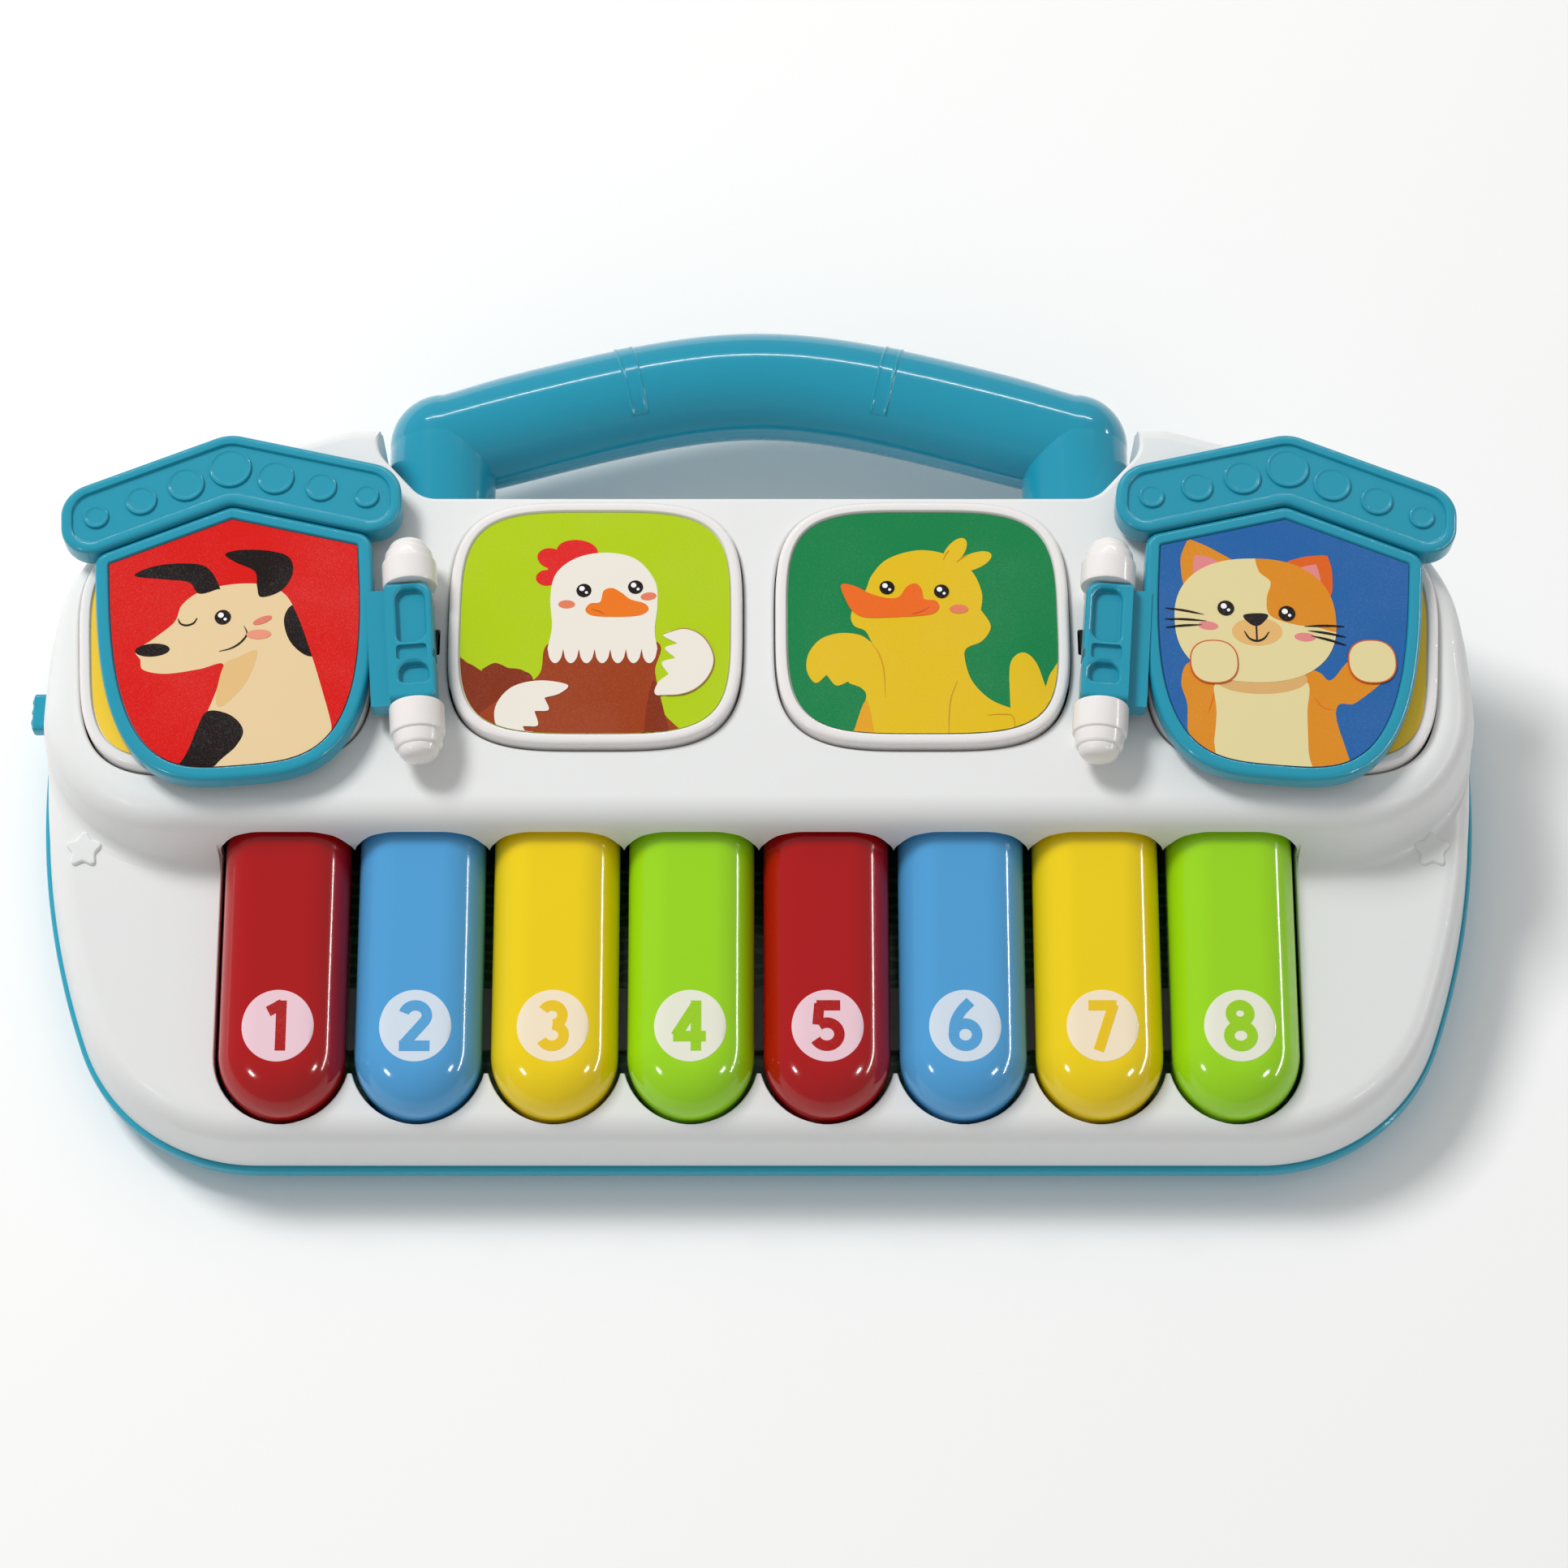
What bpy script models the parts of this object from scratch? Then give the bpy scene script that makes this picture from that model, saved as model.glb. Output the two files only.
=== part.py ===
"""Toy electronic keyboard: eight hinged keys, four picture buttons, two flip-over doors and a carry handle.

Metres, +Z up. The origin is at the middle of the overall box, on the surface that the toy stands on.
"""

import math

import bmesh
import bpy
from mathutils import Matrix, Vector

MM = 0.001
TOUCH_GAP = 0.3 * MM  # between pieces that sit on or in each other
WALL = 2.4 * MM
PAST = 5 * MM  # how far a cutting tool runs past the face it cuts
FAR = 1  # longer than the whole toy

# Overall body
BODY_WIDTH = 314.4 * MM
OVERALL_DEPTH = 193.5 * MM  # front edge of the body to the back of the handle
FRONT_Y = -OVERALL_DEPTH / 2
HALF_WIDTH = BODY_WIDTH / 2
WIDEST_Y = FRONT_Y + 92.5 * MM
REAR_Y = FRONT_Y + 160.5 * MM
FRONT_CORNER_R = 42 * MM
SIDE_R = 180 * MM
SHOULDER_X = 90 * MM
SHOULDER_SLOPE = math.radians(16.4)

# Levels
FOOT_DROP = 1.5 * MM  # how far the feet stand proud of the base
SEAM_Z = 10 * MM  # top of the base shell
FRONT_TOP_Z = 24.5 * MM  # key surface at the front edge
KEY_SURFACE_SLOPE = math.tan(math.radians(7.7))
DECK_Z = 49.5 * MM
SHELL_INSET = 1.3 * MM  # the top shell stands this far inside the base shell's rim

# Deck, the raised rear part
DECK_FRONT_Y = FRONT_Y + 61.3 * MM
DECK_HALF = 153 * MM
DECK_CORNER_R = 30.5 * MM

# Notch that leaves the finger gap in front of the handle
NOTCH_HALF = 83 * MM
NOTCH_FLOOR_HALF = 73 * MM
NOTCH_Y = FRONT_Y + 139.5 * MM
NOTCH_CORNER = 11.4 * MM
NOTCH_WALL = 1.6 * MM
ARCH_GAP = 0.9 * MM  # round each key where it goes under the deck
ARCH_LOW_Z = 16 * MM
SCALLOP_CUSP = math.radians(15)  # where the round of one key's opening meets the next

# Keys
KEY_COUNT = 8
KEY_PITCH = 28.4 * MM
KEY_SIDE_GAP = 1.8 * MM  # between neighbours
KEY_WIDTH = KEY_PITCH - KEY_SIDE_GAP
KEY_TIP_Y = FRONT_Y + 6.3 * MM
KEY_BODY_REAR_Y = FRONT_Y + 70.5 * MM
KEY_CROWN_Z = 33.5 * MM  # crown height at the tip
KEY_CROWN_SLOPE = math.tan(math.radians(8.5))
KEY_CROWN_RISE = 9 * MM
KEY_SKIRT = 6 * MM
KEY_SHOULDER = 8.6 * MM
KEY_WALL = 2.2 * MM
KEY_TRAVEL = math.radians(3)
AXLE_Y = FRONT_Y + 80.5 * MM
AXLE_Z = KEY_CROWN_Z - 3.5 * MM
AXLE_R = 2 * MM
HUB_R = AXLE_R + 2.4 * MM
HUB_WIDTH = 18 * MM
RUN_GAP = 0.15 * MM
PLUNGER_Y = FRONT_Y + 32 * MM
PLUNGER_R = 3.2 * MM

# Picture buttons
BUTTON_X = 34.7 * MM
BUTTON_Y = FRONT_Y + 108.5 * MM
BUTTON_HALF = (31.2 * MM, 28.8 * MM)
SIDE_BUTTON_X = 113.2 * MM
SIDE_BUTTON_Y = FRONT_Y + 103 * MM
SIDE_BUTTON_HALF = (30.6 * MM, 28.2 * MM)
BUTTON_TOP_Z = DECK_Z + 2.5 * MM
BUTTON_TRAVEL = 1.5 * MM
BUTTON_RIM = 2.2 * MM
BUTTON_SKIN = 3 * MM  # button top that is left over its hollow
BUTTON_FLANGE = 1.6 * MM
CARD_DEPTH = 1.0 * MM
CARD_THICK = 0.7 * MM
BUTTON_TAB = 1.2 * MM  # how far the retaining tabs reach under the deck
SQUIRCLE = 3.7  # exponent of the buttons' outline

# Doors and their hinges
HINGE_X = 72.5 * MM
HINGE_Y = FRONT_Y + 99.7 * MM
HINGE_Z = BUTTON_TOP_Z + 5 * MM
HINGE_TURN = math.radians(5)
PIN_R = 1.5 * MM
BARREL_R = PIN_R + 2.65 * MM
BARREL_HALF = 13.5 * MM
KNUCKLE_R = PIN_R + 4.3 * MM
KNUCKLE_FRONT = 12.5 * MM
KNUCKLE_REAR = 9 * MM
DOOR_THICK = 5 * MM
DOOR_WALL_U = 7.7 * MM  # hinge axis to the door's near wall
DOOR_HALF = 29.4 * MM
DOOR_FRONT_V = -27 * MM
DOOR_EAVES_V = 27.5 * MM
DOOR_RIM = 3 * MM
DOOR_CORNER_POWER = 3.2
WEB_DROP = 3.4 * MM  # underside of the web between the barrel and the door
ROOF_SLOPE = math.tan(math.radians(18))
ROOF_OVERHANG = 36.3 * MM  # half length of the roof
ROOF_APEX_V = 54.4 * MM
ROOF_BAND = 17.2 * MM  # measured along the door's length
ROOF_RAISE = 0.6 * MM
ROOF_DISC_R = (4.6 * MM, 4.0 * MM, 3.4 * MM, 2.7 * MM)
ROOF_DISC_STEP = 9.6 * MM
ROOF_DISC_RAISE = 0.5 * MM

# Handle
HANDLE_R = 12.1 * MM
HANDLE_WALL = 2.2 * MM
HANDLE_Z = 25 * MM
HANDLE_END_X = 71 * MM
HANDLE_RISE = 16 * MM
HANDLE_BEND = 30 * MM  # the smaller it is, the tighter the bend in the middle
LEG_R = 9.5 * MM
LEG_FLANGE_R = 11.6 * MM
LEG_FLANGE = 2.5 * MM

# Power switch
SWITCH_Y = FRONT_Y + 99 * MM
SWITCH_Z = 25 * MM
SWITCH_KNOB = (9 * MM, 4.4 * MM)
SWITCH_TRAVEL = 5 * MM

# Battery bay
CELL_R = 7.25 * MM
CELL_LENGTH = 50.5 * MM
CELL_COUNT = 3
BAY_X = -80 * MM
BAY_Y = FRONT_Y + 107.9 * MM
BAY_WALL = 2 * MM
CONTACT_THICK = 0.8 * MM
CONTACT_ROOM = 3.2 * MM  # at each end of the cells

# Speaker
SPEAKER_R = 20 * MM
SPEAKER_Y = FRONT_Y + 106 * MM

# Boards, feet and screws
BOARD_THICK = 1.6 * MM
MAIN_BOARD_Z = SEAM_Z + 2 * MM
BUTTON_BOARD_Z = DECK_Z - 13.5 * MM
PAD_HEIGHT = 4.5 * MM
BUTTON_PAD_HEIGHT = 3 * MM
POST_R = 3.5 * MM  # screw posts under the roof
BASE_POST_R = 4.5 * MM
BASE_POST_Z = 12 * MM
SCREW_SEAT_Z = 4.6 * MM
FOOT_SEAT = 1.2 * MM
FOOT_R = 7 * MM
FOOT_PLACES = ((112 * MM, FRONT_Y + 22 * MM), (118 * MM, FRONT_Y + 128 * MM))
SCREW_R = 1.5 * MM
SCREW_HEAD_R = 3 * MM
SCREW_LENGTH = 15 * MM
SCREW_HEAD = 2 * MM
DOOR_SCREW_HEAD = 1.4 * MM
SCREW_PLACES = (
    (127 * MM, FRONT_Y + 30.5 * MM),
    (-127 * MM, FRONT_Y + 30.5 * MM),
    (93 * MM, FRONT_Y + 144.5 * MM),
    (-93 * MM, FRONT_Y + 144.5 * MM),
    (0, FRONT_Y + 132 * MM),
)

SIDES = (("left", -1), ("right", 1))
COLORS = {
    "white_plastic": ((0.86, 0.86, 0.85), 0.38, 0),
    "teal_plastic": ((0.02, 0.35, 0.47), 0.3, 0),
    "red_plastic": ((0.46, 0.003, 0.003), 0.25, 0),
    "blue_plastic": ((0.1, 0.41, 0.73), 0.25, 0),
    "yellow_plastic": ((0.9, 0.66, 0.01), 0.25, 0),
    "green_plastic": ((0.4, 0.72, 0.02), 0.25, 0),
    "lime_print": ((0.48, 0.63, 0.01), 0.35, 0),
    "green_print": ((0.01, 0.26, 0.085), 0.35, 0),
    "red_print": ((0.73, 0.015, 0.008), 0.35, 0),
    "blue_print": ((0.036, 0.16, 0.41), 0.35, 0),
    "yellow_print": ((0.94, 0.6, 0.04), 0.35, 0),
    "black_plastic": ((0.02, 0.02, 0.02), 0.5, 0),
    "rubber": ((0.05, 0.05, 0.05), 0.8, 0),
    "silicone": ((0.6, 0.6, 0.58), 0.6, 0),
    "board": ((0.02, 0.22, 0.07), 0.5, 0),
    "steel": ((0.6, 0.6, 0.6), 0.3, 1),
    "paper_cone": ((0.04, 0.04, 0.04), 0.9, 0),
    "cell_label": ((0.1, 0.1, 0.12), 0.4, 0),
}
KEY_COLORS = ("red_plastic", "blue_plastic", "yellow_plastic", "green_plastic")


# Small helpers


def start_scene():
    for obj in list(bpy.data.objects):
        bpy.data.objects.remove(obj)
    collection = bpy.data.collections.new("toy_electronic_keyboard")
    bpy.context.scene.collection.children.link(collection)
    return collection


PARTS = start_scene()


def material(name):
    found = bpy.data.materials.get(name)
    if found:
        return found
    color, roughness, metallic = COLORS[name]
    made = bpy.data.materials.new(name)
    made.use_nodes = True
    shader = made.node_tree.nodes["Principled BSDF"]
    shader.inputs["Base Color"].default_value = (*color, 1)
    shader.inputs["Roughness"].default_value = roughness
    shader.inputs["Metallic"].default_value = metallic
    return made


def from_bmesh(bm):
    """An object in the parts collection from a bmesh."""
    mesh = bpy.data.meshes.new("tool")
    bm.to_mesh(mesh)
    bm.free()
    obj = bpy.data.objects.new("tool", mesh)
    PARTS.objects.link(obj)
    return obj


def loft(rings):
    """A closed solid through rings of points, counter-clockwise seen from beyond the last ring."""
    bm = bmesh.new()
    made = [[bm.verts.new(point) for point in ring] for ring in rings]
    count = len(made[0])
    for low, high in zip(made, made[1:]):
        for i in range(count):
            j = (i + 1) % count
            bm.faces.new((low[i], low[j], high[j], high[i]))
    bm.faces.new(reversed(made[0]))
    bm.faces.new(made[-1])
    return from_bmesh(bm)


def prism(outline, low, high):
    """An outline of (x, y) points stood up between two heights."""
    return loft([[(x, y, z) for x, y in outline] for z in (low, high)])


def box(low, high):
    bm = bmesh.new()
    bmesh.ops.create_cube(bm, size=1)
    size = Vector(high) - Vector(low)
    middle = (Vector(high) + Vector(low)) / 2
    place = Matrix.Translation(middle) @ Matrix.Diagonal((*size, 1))
    bmesh.ops.transform(bm, matrix=place, verts=bm.verts)
    return from_bmesh(bm)


def cone(start, end, start_r, end_r, sides=16):
    """A round piece from one point to another, with a radius at each end."""
    axis = Vector(end) - Vector(start)
    turn = axis.to_track_quat("Z", "Y").to_matrix().to_4x4()
    place = Matrix.Translation((Vector(start) + Vector(end)) / 2) @ turn
    bm = bmesh.new()
    bmesh.ops.create_cone(
        bm, cap_ends=True, segments=sides, radius1=start_r, radius2=end_r, depth=axis.length, matrix=place
    )
    return from_bmesh(bm)


def cylinder(start, end, radius, sides=16):
    return cone(start, end, radius, radius, sides)


def combine(target, tool, operation):
    """Applies one Boolean and removes the tool."""
    modifier = target.modifiers.new("Boolean", "BOOLEAN")
    modifier.object = tool
    modifier.operation = operation
    modifier.solver = "EXACT"
    depsgraph = bpy.context.evaluated_depsgraph_get()
    mesh = bpy.data.meshes.new_from_object(target.evaluated_get(depsgraph))
    target.modifiers.clear()
    target.data = mesh
    bpy.data.objects.remove(tool)
    return target


def cut(target, *tools):
    for tool in tools:
        combine(target, tool, "DIFFERENCE")
    return target


def join(target, *tools):
    for tool in tools:
        combine(target, tool, "UNION")
    return target


def move(obj, matrix):
    """Moves the mesh itself, so the object stays at the world's origin."""
    obj.data.transform(matrix)
    return obj


def finish(obj, name, material_name, origin=(0, 0, 0)):
    """Names a piece, gives it its material and puts its origin at its joint."""
    obj.name = name
    obj.data.name = name
    obj.data.materials.clear()
    obj.data.materials.append(material(material_name))
    obj.data.transform(Matrix.Translation(-Vector(origin)))
    obj.location = origin
    obj.data.shade_smooth()
    obj.data.set_sharp_from_angle(angle=math.radians(35))
    return obj


# Outlines


def arc(x, y, radius, start, end, steps):
    """Points on an arc, both ends included; angles in radians."""
    turns = (start + (end - start) * i / steps for i in range(steps + 1))
    return [(x + radius * math.cos(a), y + radius * math.sin(a)) for a in turns]


def mirrored(right_half):
    """A closed outline from its right half, which runs from front to rear."""
    return right_half + [(-x, y) for x, y in reversed(right_half)]


def inset(outline, distance):
    """Moves each point of a counter-clockwise outline inwards, square to its neighbours."""
    moved = []
    for i, point in enumerate(outline):
        here = Vector(point)
        before = (here - Vector(outline[i - 1])).normalized()
        after = (Vector(outline[(i + 1) % len(outline)]) - here).normalized()
        normal = Vector((-before.y - after.y, before.x + after.x)).normalized()
        reach = distance / max(normal.dot(Vector((-before.y, before.x))), 0.3)
        moved.append(tuple(here + normal * reach))
    return moved


def squircle(half_x, half_y, power, steps=20):
    """Superellipse outline around zero."""
    points = []
    for i in range(steps):
        a = 2 * math.pi * (i + 0.5) / steps
        c, s = math.cos(a), math.sin(a)
        x = math.copysign(abs(c) ** (2 / power), c) * half_x
        points.append((x, math.copysign(abs(s) ** (2 / power), s) * half_y))
    return points


def rounded(corners, steps=4):
    """A closed outline from (x, y, radius) corners, counter-clockwise."""
    points = []
    for i, (x, y, radius) in enumerate(corners):
        here = Vector((x, y))
        back = (Vector(corners[i - 1][:2]) - here).normalized()
        ahead = (Vector(corners[(i + 1) % len(corners)][:2]) - here).normalized()
        half = back.angle(ahead) / 2
        if radius == 0 or abs(half - math.pi / 2) < 0.001:
            points.append((x, y))
            continue
        middle = here + (back + ahead).normalized() * radius / math.sin(half)
        first = here + back * radius / math.tan(half) - middle
        last = here + ahead * radius / math.tan(half) - middle
        start = math.atan2(first.y, first.x)
        sweep = (math.atan2(last.y, last.x) - start + math.pi) % (2 * math.pi) - math.pi
        points += arc(middle.x, middle.y, radius, start, start + sweep, steps)
    return points


def rear_corner_r():
    """Radius that runs from the side's widest point into the sloping shoulder."""
    slope = math.tan(SHOULDER_SLOPE)
    run = REAR_Y - WIDEST_Y - slope * (HALF_WIDTH - SHOULDER_X)
    return run / (1 / math.cos(SHOULDER_SLOPE) - slope)


def side_drop(y):
    """How far the side has curved in at y, behind its widest point."""
    return rear_corner_r() - math.sqrt(rear_corner_r() ** 2 - (y - WIDEST_Y) ** 2)


def body_outline():
    """Front line, corner arc, long side arc, rear corner arc and the sloping shoulder."""
    side_x = HALF_WIDTH - SIDE_R
    corner_y = FRONT_Y + FRONT_CORNER_R
    drop = WIDEST_Y - corner_y
    corner_x = side_x + math.sqrt((SIDE_R - FRONT_CORNER_R) ** 2 - drop**2)
    turn = math.asin(drop / (SIDE_R - FRONT_CORNER_R))
    rear_r = rear_corner_r()
    points = arc(corner_x, corner_y, FRONT_CORNER_R, -math.pi / 2, -turn, 5)
    points += arc(side_x, WIDEST_Y, SIDE_R, -turn, 0, 3)[1:]
    points += arc(HALF_WIDTH - rear_r, WIDEST_Y, rear_r, 0, math.pi / 2 - SHOULDER_SLOPE, 5)[1:]
    points.append((SHOULDER_X, REAR_Y))
    return mirrored(points)


def deck_outline():
    """Front edge and round front corners of the deck; it runs past the body at the rear."""
    radius = DECK_CORNER_R
    points = arc(DECK_HALF - radius, DECK_FRONT_Y + radius, radius, -math.pi / 2, 0, 5)
    points.append((DECK_HALF, OVERALL_DEPTH))
    return mirrored(points)


def notch_outline(grow):
    """The gap that the handle spans, as an outline that runs out behind the body."""
    floor_y = NOTCH_Y - grow
    lean = grow * (math.hypot(NOTCH_HALF - NOTCH_FLOOR_HALF, NOTCH_CORNER) - (NOTCH_HALF - NOTCH_FLOOR_HALF))
    lean /= NOTCH_CORNER
    far_y = OVERALL_DEPTH
    right = [
        (NOTCH_FLOOR_HALF + lean, floor_y),
        (NOTCH_HALF + grow, floor_y + NOTCH_CORNER + grow - lean),
        (NOTCH_HALF + grow, far_y),
    ]
    return mirrored(right)


def surface_z(y):
    """Height of the key surface at y."""
    return FRONT_TOP_Z + KEY_SURFACE_SLOPE * (y - FRONT_Y)


def key_x(index):
    return (index - (KEY_COUNT - 1) / 2) * KEY_PITCH


def hinge_frame(side):
    """Hinge frame: u away from the keyboard's middle, v to the rear along the pin, w up."""
    turn = Matrix.Rotation(-HINGE_TURN, 4, "Z")
    flip = Matrix.Diagonal((side, 1, 1, 1))
    return flip @ Matrix.Translation((HINGE_X, HINGE_Y, HINGE_Z)) @ turn


def placed(obj, side):
    """Moves a piece drawn in the right-hand hinge frame to its side, with its faces kept outward."""
    move(obj, hinge_frame(side))
    if side < 0:
        obj.data.flip_normals()
    return obj


# Top shell


def tier(outline, profile, z_of=None):
    """A solid whose wall follows (inset, height) pairs; z_of adds a height that varies with y."""
    rings = []
    for distance, height in profile:
        ring = inset(outline, distance)
        rings.append([(x, y, height if z_of is None else z_of(y) + height) for x, y in ring])
    return loft(rings)


def lower_tier(wall, drop):
    """Front part of the top shell under its sloping key surface."""
    start = SHELL_INSET + 0.35 * MM + wall
    outline = body_outline()
    base_z = SEAM_Z + TOUCH_GAP - (4 * MM if wall else 0)
    rings = [[(x, y, base_z) for x, y in inset(outline, start)]]
    for distance, height in ((0.6, -6), (1.4, -2.8), (3.2, -0.8), (6, 0)):
        ring = inset(outline, start + distance * MM)
        rings.append([(x, y, surface_z(y) + height * MM - drop) for x, y in ring])
    return loft(rings)


def deck_tier(wall, drop):
    """The raised rear part: the body's outline cut to the deck's front edge."""
    low = SEAM_Z + TOUCH_GAP - (4 * MM if wall else 0)
    start = SHELL_INSET + wall
    body = tier(
        body_outline(),
        (
            (start, low),
            (start + 0.7 * MM, 38 * MM),
            (start + 1.9 * MM, 46 * MM - drop),
            (start + 3.1 * MM, 48.5 * MM - drop),
            (start + 4.7 * MM, DECK_Z - drop),
        ),
    )
    front = tier(
        deck_outline(),
        (
            (wall, low - 1 * MM),
            (wall + 1.3 * MM, 34 * MM - drop / 2),
            (wall + 2.8 * MM, 40 * MM - drop / 2),
            (wall + 4.1 * MM, 46 * MM - drop),
            (wall + 5.2 * MM, 48.5 * MM - drop),
            (wall + 7.4 * MM, DECK_Z + 1 * MM - drop),
        ),
    )
    return combine(body, front, "INTERSECT")


def key_opening():
    """One opening for all keys, scalloped round their tips."""
    radius = KEY_PITCH / 2
    middle_y = KEY_TIP_Y + KEY_WIDTH / 2
    back_y = DECK_FRONT_Y + 1 * MM
    points = [(key_x(0) - radius, back_y)]
    for k in range(KEY_COUNT):
        start = math.pi if k == 0 else math.pi + SCALLOP_CUSP
        end = 2 * math.pi if k == KEY_COUNT - 1 else 2 * math.pi - SCALLOP_CUSP
        points += arc(key_x(k), middle_y, radius, start, end, 6)
    points.append((key_x(KEY_COUNT - 1) + radius, back_y))
    return prism(points, 2 * MM, 60 * MM)


def key_crown(y):
    """Crown height of the keys at y."""
    return KEY_CROWN_Z + KEY_CROWN_SLOPE * (y - KEY_TIP_Y)


def key_arches():
    """Arched ways through the deck's front wall, one for each key, joined below."""
    half = KEY_PITCH / 2
    top = key_crown(KEY_BODY_REAR_Y) + ARCH_GAP
    spring = top - KEY_CROWN_RISE
    shoulder = KEY_SHOULDER + ARCH_GAP
    outline = [(key_x(0) - half, ARCH_LOW_Z)]
    outline.append((key_x(KEY_COUNT - 1) + half, ARCH_LOW_Z))
    for k in reversed(range(KEY_COUNT)):
        flat = half - shoulder
        squash = KEY_CROWN_RISE / shoulder
        for x, z in arc(flat, 0, shoulder, 0.12, math.pi / 2, 3):
            outline.append((key_x(k) + x, spring + z * squash))
        for x, z in arc(-flat, 0, shoulder, math.pi / 2, math.pi - 0.12, 3):
            outline.append((key_x(k) + x, spring + z * squash))
    front = DECK_FRONT_Y - 4 * MM
    rear = DECK_FRONT_Y + 14 * MM
    return loft([[(x, y, z) for x, z in outline] for y in (rear, front)])


def button_places():
    """Name, centre, half size and turn of each picture button."""
    places = []
    for name, side in SIDES:
        places.append((name + "_inner", (side * BUTTON_X, BUTTON_Y), BUTTON_HALF, 0))
        center = (side * SIDE_BUTTON_X, SIDE_BUTTON_Y)
        places.append((name + "_outer", center, SIDE_BUTTON_HALF, -side * HINGE_TURN))
    return places


def button_outline(half, grow=0):
    return squircle(half[0] + grow, half[1] + grow, SQUIRCLE)


def button_frame(center, turn):
    return Matrix.Translation((*center, 0)) @ Matrix.Rotation(turn, 4, "Z")


def knuckles(shell):
    """The two knuckles of each hinge, each on its foot, with blind bores for the pin."""
    for _, side in SIDES:
        spans = (
            (-BARREL_HALF - TOUCH_GAP - KNUCKLE_FRONT, -BARREL_HALF - TOUCH_GAP, -1),
            (BARREL_HALF + TOUCH_GAP, BARREL_HALF + TOUCH_GAP + KNUCKLE_REAR, 1),
        )
        foot_z = DECK_Z - HINGE_Z - 1 * MM
        for low, high, outward in spans:
            body = cylinder((0, low, 0), (0, high, 0), KNUCKLE_R)
            foot = box((-4 * MM, low + 0.2 * MM, foot_z), (4 * MM, high - 0.2 * MM, 0))
            end = low if outward < 0 else high
            dome = cone((0, end - outward * MM, 0), (0, end + outward * 2.4 * MM, 0), 4.2 * MM, 2.6 * MM, 12)
            join(body, foot, dome)
            join(shell, placed(body, side))
        reach = BARREL_HALF + 7 * MM
        bore = cylinder((0, -reach, 0), (0, reach, 0), PIN_R + RUN_GAP)
        cut(shell, placed(bore, side))


def top_posts(shell):
    """Screw posts, ribs over the key axle and hangers for the button board, all under the shell's roof."""
    for x, y in SCREW_PLACES:
        roof = surface_z(y) if y < DECK_FRONT_Y else DECK_Z
        low = BASE_POST_Z + TOUCH_GAP
        join(shell, cylinder((x, y, low), (x, y, roof - WALL / 2), POST_R, 10))
        bore_z = SCREW_SEAT_Z + SCREW_LENGTH + PAST
        cut(shell, cylinder((x, y, low - MM), (x, y, bore_z), SCREW_R + TOUCH_GAP, 8))
    low = AXLE_Z + AXLE_R + TOUCH_GAP
    join(shell, box((-1.5 * MM, AXLE_Y - 3 * MM, low), (1.5 * MM, AXLE_Y + 3 * MM, DECK_Z - WALL / 2)))
    for x in (axle_posts()[0], axle_posts()[-1]):
        wall_y = DECK_FRONT_Y + SHELL_INSET + 1.2 * MM
        join(shell, box((x - 1.5 * MM, wall_y, low), (x + 1.5 * MM, AXLE_Y + 3 * MM, DECK_Z - 8 * MM)))
    for _, side in SIDES:
        x = side * (HINGE_X + 1.5 * MM)
        low = BUTTON_BOARD_Z + BOARD_THICK + TOUCH_GAP
        join(shell, cylinder((x, SIDE_BUTTON_Y, low), (x, SIDE_BUTTON_Y, DECK_Z - WALL / 2), 3 * MM, 8))


def axle_posts():
    """Where the key axle is held: at its ends and between some of the keys."""
    end = key_x(KEY_COUNT - 1) + KEY_PITCH / 2 + 3.5 * MM
    return (-end, -2 * KEY_PITCH, 0, 2 * KEY_PITCH, end)


def switch_slot():
    """Slot in the left wall for the power switch's knob."""
    half_y = SWITCH_KNOB[0] / 2 + TOUCH_GAP
    half_z = SWITCH_KNOB[1] / 2 + TOUCH_GAP
    low = (-HALF_WIDTH - PAST, SWITCH_Y - half_y, SWITCH_Z - half_z)
    return box(low, (-HALF_WIDTH + 8 * MM, SWITCH_Y + half_y + SWITCH_TRAVEL, SWITCH_Z + half_z))


def door_switch_x():
    return HINGE_X - 3.2 * MM


def make_top_shell():
    shell = join(lower_tier(0, 0), deck_tier(0, 0))
    hollow = join(lower_tier(WALL, WALL), deck_tier(WALL, WALL))
    cut(hollow, prism(notch_outline(NOTCH_WALL), -PAST, DECK_Z + PAST))
    cut(shell, hollow, prism(notch_outline(0), -PAST, DECK_Z + PAST))
    knuckles(shell)
    top_posts(shell)
    cut(shell, key_opening(), key_arches())
    for _, center, half, turn in button_places():
        hole = prism(button_outline(half, TOUCH_GAP), DECK_Z - 6 * MM, DECK_Z + 4 * MM)
        cut(shell, move(hole, button_frame(center, turn)))
    for _, side in SIDES:
        x = side * HANDLE_END_X
        start, end = (x, NOTCH_Y - 12 * MM, HANDLE_Z), (x, REAR_Y + PAST, HANDLE_Z)
        cut(shell, cylinder(start, end, LEG_R + TOUCH_GAP))
        x = side * door_switch_x()
        low = (x - 1.5 * MM, HINGE_Y + 2.0 * MM, DECK_Z - 4 * MM)
        cut(shell, box(low, (x + 1.5 * MM, HINGE_Y + 7.6 * MM, DECK_Z + 1 * MM)))
    cut(shell, switch_slot())
    return finish(shell, "top_shell", "white_plastic")


# Base shell and what is fixed to it


def bay_half():
    """Half size of the battery bay's room."""
    half_x = CELL_LENGTH / 2 + CONTACT_ROOM
    half_y = CELL_COUNT * (CELL_R + TOUCH_GAP / 2) + TOUCH_GAP / 2
    return half_x, half_y


def bay_roof_z():
    return FOOT_DROP + WALL + 2 * TOUCH_GAP + 2 * CELL_R


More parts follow.
